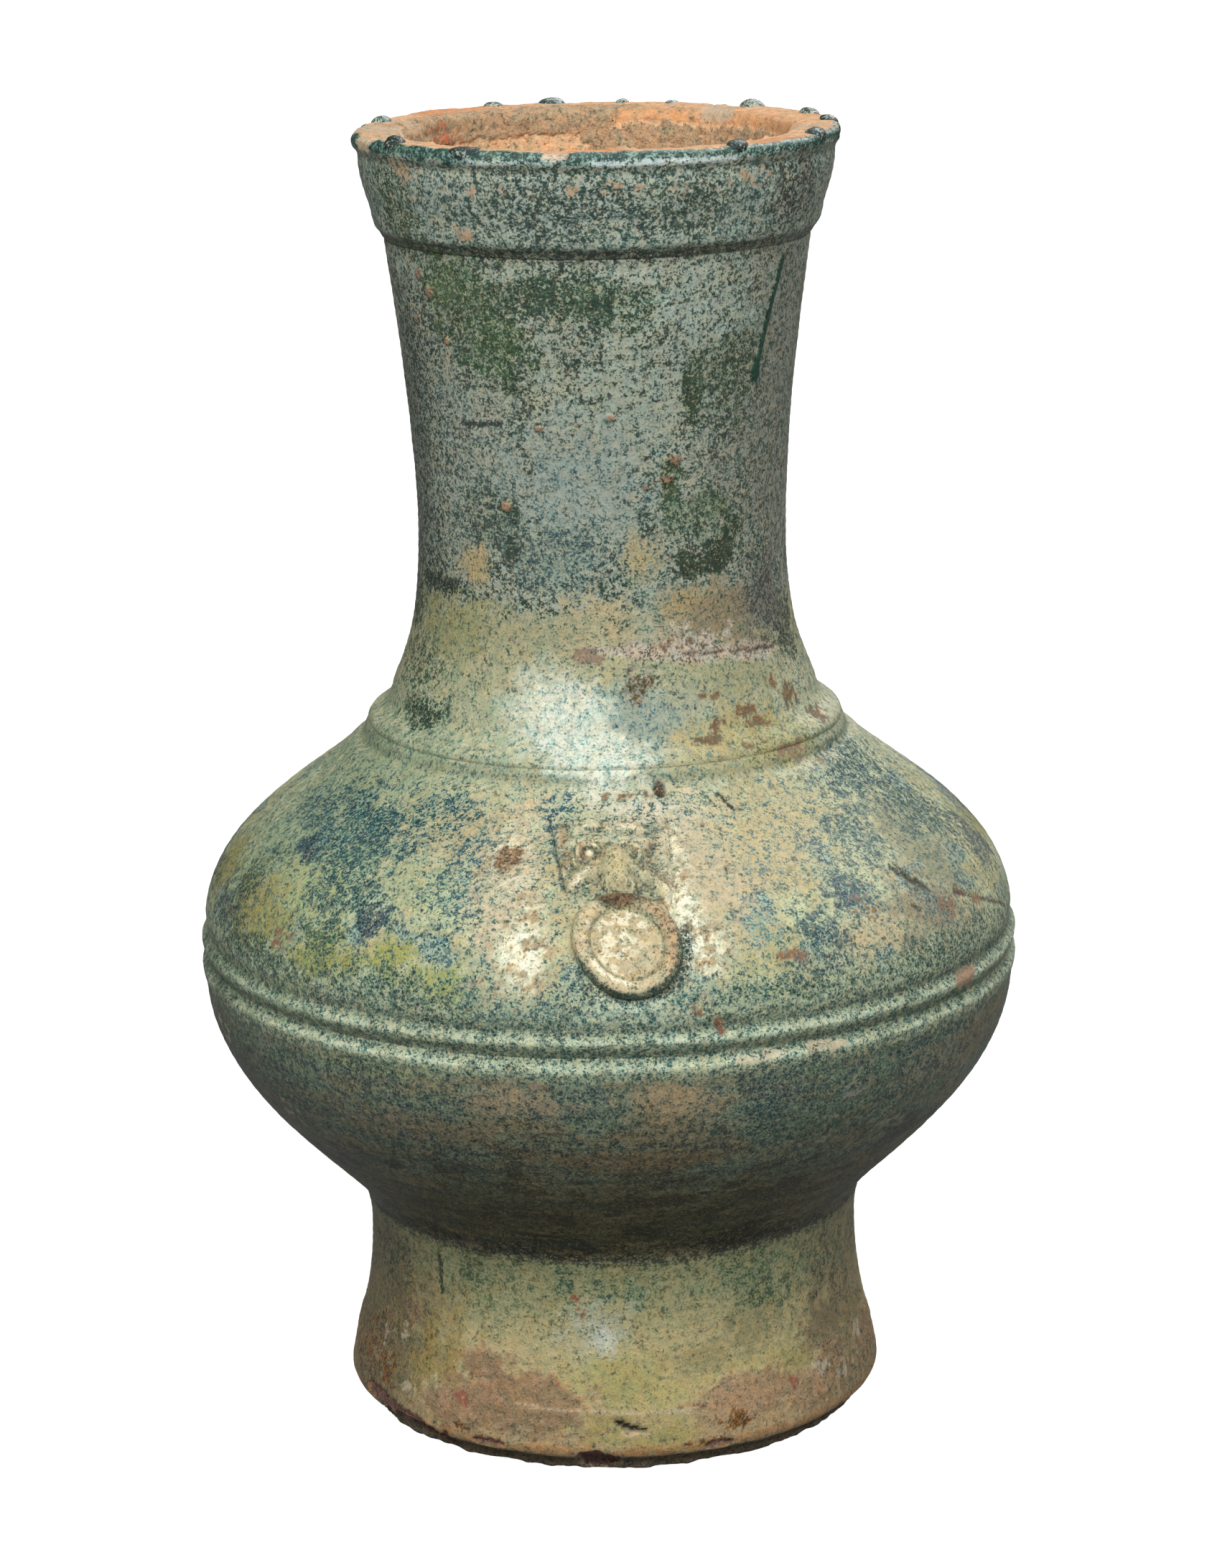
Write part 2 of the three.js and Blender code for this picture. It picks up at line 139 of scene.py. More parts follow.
def spaced(outline, step):
    """The outline again, at even steps along it, with both ends kept."""
    along = distances(outline)
    count = max(int(round(along[-1] / step)), 1)
    stations = np.linspace(0, along[-1], count + 1)
    return np.stack([np.interp(stations, along, outline[:, i]) for i in (0, 1)], axis=1)


# The outside of each thrown section, from its foot to its top: radius and level.
foot_band, foot_waist, foot_top = (84.3, 8.4), (76.9, FOOT_TOP - 11), (78.4, FOOT_TOP)
foot_outside = np.concatenate([
    soft((77.6, 0), (78.7, 0.1), (78.9, 1.4)),
    soft((79.1, 2.2), (79.6, 4.4), (81.6, 5.0)),
    soft((81.6, 5.0), (84.1, 5.3), foot_band),
    bezier(foot_band, away(foot_band, 14, 100), away(foot_waist, 25, -90), foot_waist),
    soft(foot_waist, (76.9, FOOT_TOP - 5), foot_top),
])

girth = (126.0, BELLY_JOINT)
bowl_top, shoulder_foot = (126.2, BELLY_JOINT - 7.2), (126.1, BELLY_JOINT + 8.6)
bowl_outside = np.concatenate([
    bezier(foot_top, away(foot_top, 10.5, 90), away(bowl_top, 35, -90), bowl_top),
    soft(bowl_top, (126.1, BELLY_JOINT - 4), girth),
])

shoulder_top, neck_joint = (75.3, NECK_JOINT - 3.5), (72.5, NECK_JOINT)
shoulder_curve = bezier(shoulder_foot, away(shoulder_foot, 30, 90),
                        away(shoulder_top, 22, -49), shoulder_top, 400)
shoulder_outside = np.concatenate([
    soft(girth, (126.0, BELLY_JOINT + 4), shoulder_foot),
    shoulder_curve,
    soft(shoulder_top, (74.6, NECK_JOINT - 1.4), neck_joint),
])

neck_base, throat, crease = (68.0, NECK_JOINT + 6), (56.4, NECK_JOINT + 61), (64.4, CREASE)
neck_outside = np.concatenate([
    soft(neck_joint, (73.5, NECK_JOINT + 1.2), neck_base),
    bezier(neck_base, away(neck_base, 18, 114), away(throat, 32, -90), throat),
    bezier(throat, away(throat, 26, 90), away(crease, 26, -97.5), crease),
])

collar_foot, collar_top, lip = (67.1, CREASE + 5), (71.5, RIM_TOP - 7), (73.4, RIM_TOP - 2.6)
collar_outside = np.concatenate([
    soft(crease, (66.2, CREASE + 0.8), collar_foot),
    bezier(collar_foot, away(collar_foot, 6, 77), away(collar_top, 6, -84), collar_top),
    bezier(collar_top, away(collar_top, 2.2, 74), away(lip, 1.4, -90), lip),
    soft(lip, (73.4, RIM_TOP - 0.1), (70.3, RIM_TOP - 0.1)),
    soft((70.3, RIM_TOP - 0.1), (65.5, RIM_TOP - 0.2), (60.3, RIM_TOP - 1.1)),
    soft((60.3, RIM_TOP - 1.1), (58.5, RIM_TOP - 1.4), (58.3, RIM_TOP - 3.6)),
    soft((58.3, RIM_TOP - 3.6), (57.0, CREASE + 14), (55.9, CREASE)),
])

# The two ribs, each with its groove over it: level, half widths above and below, and rise.
RIBS = (
    (BELLY_JOINT + 7.8, 3.2, 1.3, -0.7),
    (BELLY_JOINT + 4.9, 1.3, 3.6, 1.3),
    (BELLY_JOINT - 0.2, 2.4, 1.3, -0.7),
    (BELLY_JOINT - 3.0, 1.3, 3.8, 1.3),
)
# Other turned relief: level, half width and rise of each ring or groove.
NECK_RINGS = (
    (NECK_JOINT - 7.2, 1.6, 0.35),
    (NECK_JOINT - 4.0, 1.6, -0.7),
    (NECK_JOINT + 1.4, 2.2, 0.9),
    (NECK_JOINT + 9.0, 2.6, -0.6),
)
COLLAR_RINGS = (
    (CREASE + 1.5, 1.3, -0.55),
    (CREASE + 5.8, 2.6, 0.35),
)

# A sprig's places are across (towards +X at the front) and up from its ring's centre,
# along the shoulder's surface. It is turned off the front and leans a little.
shoulder_along = distances(shoulder_curve)
SPRIG_TURN = 2.6
SPRIG_SKEW = 0.077
RING_CENTRE_Z = BELLY_JOINT + 31.8
RING_ALONG = np.interp(RING_CENTRE_Z, shoulder_curve[:, 1], shoulder_along)
RING_RADIUS, RING_BAR = 16.2, 5.8
MASK_TOP, MASK_BOTTOM = 47.0, 19.0
MASK_HALF_TOP, MASK_HALF_BOTTOM = 17.6, 15.5
MASK_CORNER = 4
# How far the pad goes on past the relief's edge, and how deep its back lies in the shoulder.
PAD_EDGE, PAD_SUNK = 1.2, 0.9
SPRIG_COLUMNS, SPRIG_ROWS = 520, 115


def sprig_place(angle, radius, height):
    """Across and up on the nearer of the two sprigs, for places on the shoulder."""
    up = np.interp(height, shoulder_curve[:, 1], shoulder_along) - RING_ALONG
    from_middle = (angle - SPRIG_TURN + 90) % 180 - 90
    return np.radians(from_middle) * radius + SPRIG_SKEW * up, up


def sprig_reach(turn):
    """How far the pad reaches from the ring's centre in a direction."""
    sideways, upwards = np.abs(np.cos(turn)), np.sin(turn)
    top = MASK_TOP / np.maximum(upwards, 0.05)
    flare = (MASK_HALF_TOP - MASK_HALF_BOTTOM) / (MASK_TOP - MASK_BOTTOM)
    side = (MASK_HALF_BOTTOM - flare * MASK_BOTTOM) / np.maximum(sideways - flare * upwards, 0.05)
    mask = -MASK_CORNER * np.log(np.exp(-top / MASK_CORNER) + np.exp(-side / MASK_CORNER))
    opens = ramp(upwards, 0.45, 0.72)
    return RING_RADIUS + opens * (np.maximum(mask, RING_RADIUS) - RING_RADIUS)


def dome(distance, power=2.0):
    """1 in the middle, falling to 0 at a distance of 1 with a rounded top."""
    return np.clip(1 - np.clip(distance, 0, 1) ** power, 0, 1)


def ridge(across, up, start, end, width, height):
    """A rounded ridge from one place to another."""
    start, end = np.array(start), np.array(end)
    run = end - start
    share = np.clip(((across - start[0]) * run[0] + (up - start[1]) * run[1]) / (run @ run), 0, 1)
    distance = np.hypot(across - start[0] - share * run[0], up - start[1] - share * run[1])
    return height * dome(distance / width, 1.6)


def sprig_relief(across, up):
    """The mask and ring's height over the shoulder, in millimetres."""
    turn = np.arctan2(up, across)
    out = np.hypot(across, up) + 0.35 * np.sin(2 * turn + 0.6)
    bar_middle = RING_RADIUS - RING_BAR / 2
    ring = 3.0 * np.sqrt(dome(np.abs(out - bar_middle) / (RING_BAR / 2)))
    disc = 0.5 + 0.9 * dome(out / 11.5) + 0.2 * dome(np.abs(out - 7.5) / 1.6)
    disc = np.where(out < bar_middle, disc, 0)
    face = 0.5 * ramp(up, MASK_BOTTOM - 9, MASK_BOTTOM + 1)
    # Cheeks, brows, the frame at the sides, horns, the forehead's ridge and three
    # grooves: two ends, width and rise.
    for start, end, width, rise in (
            ((0.4, 27.0), (-8.0, 23.4), 3.2, 2.0), ((-8.0, 23.4), (-16.0, 18.4), 2.6, 1.4),
            ((0.6, 27.0), (9.0, 21.6), 3.2, 2.0), ((9.0, 21.6), (16.6, 14.0), 2.6, 1.3),
            ((-11.0, 34.0), (-4.0, 36.0), 3.2, 1.1), ((2.4, 35.6), (9.4, 34.2), 3.2, 1.2),
            ((-14.2, 26), (-14.8, 38), 2.4, 0.5), ((13.4, 22), (14.4, 36), 2.2, 0.8),
            ((-10.0, 39), (-5.0, 41.5), 2.4, 0.8), ((3.6, 40.5), (8.6, 39.5), 2.4, 0.8),
            ((-0.6, 32), (-0.8, 40), 2.2, 0.7), ((-12.0, 26.5), (-11.8, 31), 1.5, -0.6),
            ((7.2, 25.0), (13.2, 20.6), 1.3, -1.2), ((-8.0, 20.6), (-12.0, 18.0), 1.3, -0.8)):
        face = face + ridge(across, up, start, end, width, rise)
    for middle in (-7.1, 3.9):
        eye = np.hypot(across - middle, up - 30.2)
        face = face + 1.9 * dome(eye / 2.0, 1.7) + 1.2 * dome(np.abs(eye - 3.5) / 1.0)
    nose = ridge(across, up, (0, 28), (0, 20.0), 5.4, 4.6) * ramp(up, 14.4, 18.5)
    nostrils = dome(np.hypot(np.abs(across) - 2.6, up - 18.0) / 1.4)
    nose = nose + (0.9 - 0.9 * nostrils) * (nose > 0)
    height = np.maximum(np.maximum(ring, disc), np.maximum(face * ramp(up, 8, 16), nose))
    reach = sprig_reach(turn)
    soft_edge = ramp(up, 12, 20)
    edge = ramp(reach - out, -1.1, 0.9 + 2.6 * soft_edge)
    return height * edge - 0.5 * (1 - ramp(reach - out, -1.1, 0.9))


def srgb(red, green, blue):
    """A colour as a monitor shows it, 0 to 255, made linear."""
    value = np.array((red, green, blue)) / 255
    return np.where(value < 0.04045, value / 12.92, ((value + 0.055) / 1.055) ** 2.4)


def wrapped(angle):
    """An angle in degrees, brought to between -180 and 180."""
    return (angle + 180) % 360 - 180


class Surface:
    """Places on the vase, and what the glaze is like at each of them."""

    def __init__(self, points):
        count = len(points)
        self.points = points
        self.radius = np.hypot(points[:, 0], points[:, 1])
        self.height = points[:, 2]
        self.angle = np.degrees(np.arctan2(points[:, 0], -points[:, 1]))
        self.pale = np.zeros((count, 3))
        self.stain = np.zeros((count, 3))
        self.amount = np.zeros(count)
        self.fleck = np.full(count, 0.6)
        self.crackle = np.zeros(count)
        self.gloss = np.zeros(count)
        self.bare = np.zeros(count)
        self.crust = np.zeros(count)
        self.lift = np.zeros(count)
        self.wide = cloud(points, 46, 3, 1)
        self.middle = cloud(points, 15, 3, 2)
        self.fine = cloud(points, 5.5, 3, 3)
        self.grit = cloud(points, 2.4, 2, 9)
        self.ragged = 0.24 * self.middle + 0.38 * self.fine + 0.26 * self.grit
        self.rough = 0.75 * self.fine + 0.75 * self.grit

    def reach(self, angle, height, wide, tall):
        """Distance from a place in half sizes, which are in millimetres."""
        around = np.radians(wrapped(self.angle - angle)) * self.radius
        return np.hypot(around / wide, (self.height - height) / tall)

    def patch(self, angle, height, wide, tall, soft=0.12, ragged=0.9):
        """A ragged patch round a place: 1 inside, 0 outside."""
        return 1 - ramp(self.reach(angle, height, wide, tall) + ragged * self.ragged, 1 - soft, 1 + soft)

    def flakes(self, angle, height, wide, tall, share=0.5):
        """Many small ragged bits, thickest at a place and covering a share of it."""
        away_from = self.reach(angle, height, wide, tall)
        return ramp(self.rough + share - 0.5 - 0.75 * away_from ** 2, -0.04, 0.12)

    def line(self, start, end, width, ragged=0.3):
        """A ragged stroke between two places, each an angle and a height."""
        scale = np.radians(1) * self.radius
        from_start = wrapped(self.angle - start[0]) * scale
        rise = self.height - start[1]
        run_x, run_y = (end[0] - start[0]) * scale, end[1] - start[1]
        share = np.clip((from_start * run_x + rise * run_y) / (run_x ** 2 + run_y ** 2), 0, 1)
        distance = np.hypot(from_start - share * run_x, rise - share * run_y)
        return 1 - ramp(distance / width + ragged * self.ragged, 0.7, 1.1)

    def tint(self, colour, mask):
        self.pale += (srgb(*colour) - self.pale) * mask[:, None]

    def dye(self, colour, mask):
        self.stain += (srgb(*colour) - self.stain) * mask[:, None]

    def change(self, name, value, mask):
        field = getattr(self, name)
        field += (value - field) * mask

    def cover(self, mask, pale=None, stain=None, **fields):
        """Both colours and any of the other fields, changed under one mask."""
        if pale:
            self.tint(pale, mask)
        if stain:
            self.dye(stain, mask)
        for name, value in fields.items():
            self.change(name, value, mask)

    def daub(self, *places):
        """Patches, each with its place, half sizes and blur, perhaps its raggedness,
        then the film's colour, the stain's colour and the amount of stain."""
        for *place, pale, stain, amount in places:
            self.cover(self.patch(*place), pale, stain, amount=amount)


def paint_ground(s):
    """The glaze's broad zones, which wander a little in height all the way round."""
    h = s.height + 3.5 * s.wide + 1.5 * s.middle
    one = np.ones(len(h))
    s.cover(one, (160, 165, 149), (38, 60, 47), amount=0.49)
    s.amount += 0.10 * s.fine + 0.08 * s.middle
    upright = cloud(s.points, 9, 3, 6, stretch=(1, 1, 3.2))
    s.amount += 0.22 * upright * between(s.height, 255, CREASE, 8)

    # Lower neck and its base: olive-yellow and cream.
    s.cover(1 - ramp(h, 250, 268), (172, 168, 134), (88, 98, 74), amount=0.34)
    s.cover(1 - ramp(h, 224, 246), (180, 182, 150), (92, 112, 98), amount=0.33)

    # Shoulder: yellow-green to tan, with teal clusters and crackle.
    low = 1 - ramp(h, 204, 216)
    s.cover(low, (192, 196, 158), (38, 86, 86), amount=0.32)
    s.change("crackle", 0.7, 1 - ramp(h, 178, 205))
    s.tint((180, 176, 132), low * ramp(s.wide + 0.5 * s.middle, 0.0, 0.5))
    s.tint((184, 176, 138), low * ramp(-s.wide + 0.6 * s.middle, 0.1, 0.7))
    s.cover(low * ramp(s.middle + 0.5 * s.wide, 0.3, 0.8), (160, 178, 158), (26, 82, 88), amount=0.56)

    # Towards the ribs the teal gathers.
    ribs = 1 - ramp(h, 158, 174)
    s.cover(ribs, (174, 182, 150), (38, 80, 76), amount=0.56, crackle=0.9)

    # Lower belly: grey-brown and teal, drawn out sideways.
    belly = 1 - ramp(s.height, 138, 142)
    drawn = cloud(s.points, 26, 4, 5, stretch=(1.5, 1.5, 0.4))
    s.cover(belly, (116, 130, 106), (26, 58, 54), amount=0.54, fleck=0.4, gloss=0.2)
    s.cover(belly * ramp(drawn, 0.0, 0.6), (124, 118, 92), (52, 58, 44), amount=0.46)
    s.change("amount", 0.70, belly * ramp(-drawn, 0.15, 0.7))
    s.dye((22, 60, 66), belly * ramp(s.middle - 0.4 * drawn, 0.1, 0.6))
    # Darker towards the bottom of the bowl: partly the glaze's own colour, partly painted shade where the
    # bowl turns under.
    s.cover(1 - ramp(h, 88, 114), (88, 88, 62), (24, 30, 20), amount=0.50, crackle=0.3)
    blotch = ramp(cloud(s.points, 11, 3, 21, stretch=(1.3, 1.3, 0.8)), 0.12, 0.42)
    s.cover(0.85 * belly * blotch * (1 - ramp(h, 100, 126)), (70, 70, 48), (22, 26, 18), amount=0.86)
    streaks = cloud(s.points, 12, 3, 15, stretch=(2.2, 2.2, 0.3))
    s.cover(0.7 * belly * ramp(streaks, 0.15, 0.6), (122, 114, 86), None, amount=0.38)
    s.cover(0.8 * belly * ramp(-streaks, 0.2, 0.7), None, (20, 52, 50), amount=0.80)

    # Foot: olive above, ochre and bare-looking clay towards the edge.
    foot = 1 - ramp(s.height, FOOT_TOP - 1.5, FOOT_TOP + 1.0)
    s.cover(foot, (154, 152, 112), (98, 104, 66), amount=0.38, crackle=0.15)
    s.cover(foot * (1 - ramp(h, 40, 56)), (176, 164, 120), (122, 108, 72), amount=0.20)
    yellow = foot * (1 - ramp(h, 28, 42)) * ramp(s.middle + 0.6 * s.wide, -0.1, 0.5)
    s.tint((174, 162, 104), 0.8 * yellow)
    s.cover(foot * (1 - ramp(h, 12, 26)), (168, 144, 106), (126, 100, 70), amount=0.24)


def paint_bands(s):
    """Ribs, grooves, the neck's rings, the collar's crease and the collar's glaze."""
    z = s.height
    for level, above, below, rise in RIBS:
        s.lift += rise * bell(z, level, np.where(z > level, above, below))
    # Pale rib crests: partly wear, partly a painted highlight along each crest.
    crest = bell(z, BELLY_JOINT - 2.7, 1.1) + bell(z, BELLY_JOINT + 5.2, 1.1)
    worn = crest * ramp(0.5 * s.middle + 0.5 * s.fine, -0.7, 0.1)
    s.cover(0.62 * worn, (204, 210, 184), (84, 124, 112), amount=0.30, gloss=0.7)
    # Darker bands in the two grooves over the ribs: painted shade.
    for level, width in ((BELLY_JOINT + 1.2, 2.0), (BELLY_JOINT + 8.8, 2.0)):
        dip = bell(z, level, width)
        s.cover(0.60 * dip, (112, 124, 102), (30, 62, 54), amount=0.72)

    # Painted shadow along the crease where the bowl meets the foot.
    joint = bell(z, FOOT_TOP - 0.2, 1.6)
    s.cover(0.8 * joint, None, (40, 46, 34), amount=0.74)

    for level, width, rise in NECK_RINGS:
        s.lift += rise * bell(z, level, width)
    # Painted shade on the ring's upright face at the joint, and painted highlights on the up-facing slopes
    # above and below it.
    s.cover(0.6 * bell(z, NECK_JOINT - 2, 2.0), (140, 142, 112), None, amount=0.5)
    worn = bell(z, NECK_JOINT + 4.4, 2.6) + bell(z, NECK_JOINT - 5.6, 1.2)
    s.cover(0.6 * worn, (196, 194, 164), None, amount=0.28)

    for level, width, rise in COLLAR_RINGS:
        s.lift += rise * bell(z, level, width)
    # Painted shadow in the crease under the collar, and a painted lit band on the neck just below it.
    s.cover(0.85 * bell(z, CREASE + 1.6, 2.0), (96, 102, 86), (30, 40, 32), amount=0.76)
    s.cover(0.55 * bell(z, CREASE - 5.5, 2.6), (176, 186, 172), None, amount=0.30)
    collar = between(z, CREASE + 3, RIM_TOP - 6, 1.5)
    s.cover(collar, (168, 176, 162), (46, 80, 68), amount=0.50)
    s.dye((42, 80, 76), 0.8 * collar * ramp(s.wide, -0.3, 0.3))


def paint_neck(s):
    """The neck's own patches, as they lie on the front."""
    s.daub((6, 322, 20, 22, 0.6, (156, 166, 152), None, 0.32),
           (-8, 300, 22, 18, 0.6, (150, 160, 150), (70, 92, 88), 0.36),
           (60, 320, 24, 50, 0.6, (148, 150, 136), (60, 74, 62), 0.48),
           (-74, 306, 20, 46, 0.6, (138, 144, 130), (36, 58, 50), 0.64),
           (-50, 300, 12, 34, 0.6, (158, 164, 150), (48, 72, 62), 0.50))

    # Deep green where the glaze lies thick: place, half sizes, blur, colour and amount.
    for angle, level, wide, tall, blur, colour, amount in (
            (-36, 352, 15, 14, 0.45, (42, 72, 34), 0.78), (-29, 341, 10, 10, 0.4, (40, 72, 34), 0.78),
            (-46, 358, 9, 8, 0.5, (56, 80, 38), 0.72), (-12, 357, 19, 6.5, 0.45, (38, 68, 46), 0.84),
            (8, 353, 14, 6.0, 0.45, (40, 68, 46), 0.82), (27, 327, 3.6, 9, 0.35, (38, 64, 34), 0.90),
            (21, 300, 3.2, 10, 0.4, (48, 70, 38), 0.80), (35, 293, 5, 4, 0.4, (44, 66, 34), 0.78),
            (-26, 332, 3, 2.8, 0.3, (44, 70, 36), 0.90), (40, 338, 9, 18, 0.6, (42, 62, 42), 0.70),
            (-28, 280, 4.0, 6.0, 0.2, (30, 52, 28), 1.10), (-28, 290, 3.2, 4.5, 0.3, (34, 58, 34), 0.95),
            (-36, 287, 9, 10, 0.6, (48, 68, 58), 0.70), (28, 275.0, 7, 4.2, 0.25, (34, 56, 32), 1.05),
            (38, 277.5, 5.5, 5.0, 0.2, (30, 54, 26), 1.15), (42, 285, 5, 5, 0.4, (38, 58, 34), 0.85),
            (31, 290, 10, 6, 0.6, (50, 72, 50), 0.58), (-60, 266.5, 15, 2.6, 0.3, (34, 54, 40), 1.0),
            (-40, 263, 4.6, 1.5, 0.3, (36, 58, 40), 1.0), (-29, 261.2, 3.0, 2.2, 0.3, (44, 66, 48), 0.9),
            (9.5, 271.4, 2.4, 1.9, 0.25, (54, 68, 46), 0.95), (0, 270.6, 1.5, 1.3, 0.25, (52, 70, 52), 0.95),
            (-16, 278, 15, 9, 0.6, (60, 82, 84), 0.62)):
        mask = s.patch(angle, level, wide, tall, blur, 1.1)
        s.tint(tuple(0.45 * shade + share for shade, share in zip(colour, (86, 96, 72))), 0.45 * mask)
        s.cover(mask, None, colour, amount=amount, gloss=0.25)
    for angle in range(70, 300, 23):
        level = 300 + 52 * math.sin(angle * 0.7)
        s.daub((angle, level, 9 + angle % 7, 8 + angle % 5, 0.4, 1.1, None, (42, 62, 38), 0.84))
    s.cover(s.line((-44, 317.8), (-30, 318.2), 1.0, 0.6), None, (34, 54, 54), amount=1.0)

    # Tan, cream and brown where the green thins out above the base.
    for angle, level, wide, tall, colour in (
            (-42, 275, 6, 6, (176, 156, 112)), (0, 259, 15, 7, (178, 166, 130)),
            (-50, 255, 20, 9, (150, 148, 102)), (12, 278, 5, 7, (172, 156, 112)),
            (26, 263, 12, 6, (164, 146, 104)), (46, 260, 16, 9, (142, 128, 100)),
            (-20, 258, 14, 6, (158, 156, 124)), (40, 240, 18, 6, (160, 158, 122))):
        s.cover(s.patch(angle, level, wide, tall, 0.6, 1.2), colour, None, amount=0.26)
    s.cover(0.6 * s.patch(14, 266, 4.5, 13, 0.9, 1.6), (156, 164, 146), (96, 118, 108), amount=0.40)
    s.daub((8, 232, 20, 8, 0.7, (152, 164, 148), (84, 108, 112), 0.40),
           (58, 262, 10, 13, 0.5, (128, 128, 116), (58, 64, 58), 0.60),
           (-56, 229, 11, 5, 0.5, 1.2, None, (48, 72, 52), 0.84),
           (-66, 240, 14, 8, 0.6, None, (62, 82, 60), 0.58),
           (32, 224, 17, 7, 0.6, 1.2, (180, 168, 120), None, 0.26),
           (48, 221, 14, 7, 0.6, 1.2, (168, 160, 108), (88, 98, 60), 0.40))

    # Silvery weathered film at the middle of the base, partly real weathering and partly a painted sheen.
    film = np.clip(s.patch(-14, 233, 14, 11, 0.6) + s.patch(-2, 221, 15, 7, 0.5), 0, 1)
    s.cover(film, (202, 206, 190), (122, 144, 136), gloss=0.7, amount=0.30)
    s.daub((30, 352, 22, 9, 0.5, (160, 172, 160), None, 0.40))

    # The flaked line with its chalky crust, and flakes of brown beside it.
    flaked = np.clip(s.line((-6, 251.8), (9, 251.0), 1.3, 0.7) + s.line((9, 251.2), (57, 246.2), 2.6, 1.0)
                     + s.flakes(28, 253.0, 15, 5.0, 0.85), 0, 1)
    s.cover(flaked, (186, 178, 160), (116, 98, 84), amount=0.42, bare=0.7)
    s.lift -= 0.3 * flaked
    cut = s.line((24, 249.4), (60, 246.0), 0.38, 0.9)
    s.cover(cut, (118, 98, 84), (84, 66, 56), amount=0.5)
    s.lift -= 0.35 * cut
    flake = s.patch(-4.5, 249.6, 5.6, 2.2, 0.12, 1.0)
    s.cover(flake, (138, 122, 102), (104, 86, 70), amount=0.3, bare=0.8)
    s.lift -= 0.4 * flake
    bruise = s.flakes(9.6, 242, 5.0, 6.0, 0.85)
    s.cover(bruise, (138, 138, 126), (108, 84, 54), amount=0.60)
    s.lift -= 0.2 * bruise

    # Brown flakes down to the clay: place, half sizes and share.
    for angle, level, wide, tall, share in (
            (61, 231, 4.5, 3.6, 1.3), (69, 224, 5, 3, 1.1), (52, 236, 6, 3, 0.7),
            (40, 231, 4.4, 1.8, 1.3), (32, 228.5, 3.6, 1.6, 1.2), (27, 224.6, 5.8, 1.4, 1.3),
            (44, 227, 6, 1.8, 1.1), (38, 222, 7, 1.4, 0.7), (50, 217.5, 8, 3.2, 0.8),
            (58, 215, 6, 3, 0.7), (20, 252, 9, 2.4, 0.6), (30, 236, 5, 2, 0.5),
            (-1, 213.2, 2.6, 1.0, 0.7), (-8, 211.5, 5, 1.6, 0.5)):
        flake = s.flakes(angle, level, wide, tall, share)
        s.cover(flake, (116, 92, 62) if level > 220 else (138, 118, 92), None, amount=0.14, bare=0.6)
        s.lift -= 0.22 * flake

    # A dark run of glaze down from the collar's edge.
    run = s.line((58.3, 364), (50.2, 333), 1.0, 0.1) + s.patch(50.0, 331.5, 1.9, 3.8, 0.2, 0.2)
    run = np.clip(run, 0, 1)
    s.cover(run, (16, 74, 56), (12, 66, 50), amount=1.3, gloss=1.0, fleck=0.0)
    s.lift += 0.5 * run

    # Brown specks of crust: place and half size.
    for angle, level, size in (
            (20, 302, 1.9), (22, 308, 2.1), (13, 300, 1.0), (-30, 293.5, 1.6), (3, 321, 1.3),
            (-52, 356, 2.0), (-56, 361, 1.8), (-47, 342, 1.4), (-18, 318, 1.2), (-60, 347, 2.2)):
        speck = s.patch(angle, level, size, size * 0.8, 0.25, 1.0)
        s.cover(speck, (158, 126, 102), None, amount=0.25, crust=0.7)
        s.lift += 0.35 * speck


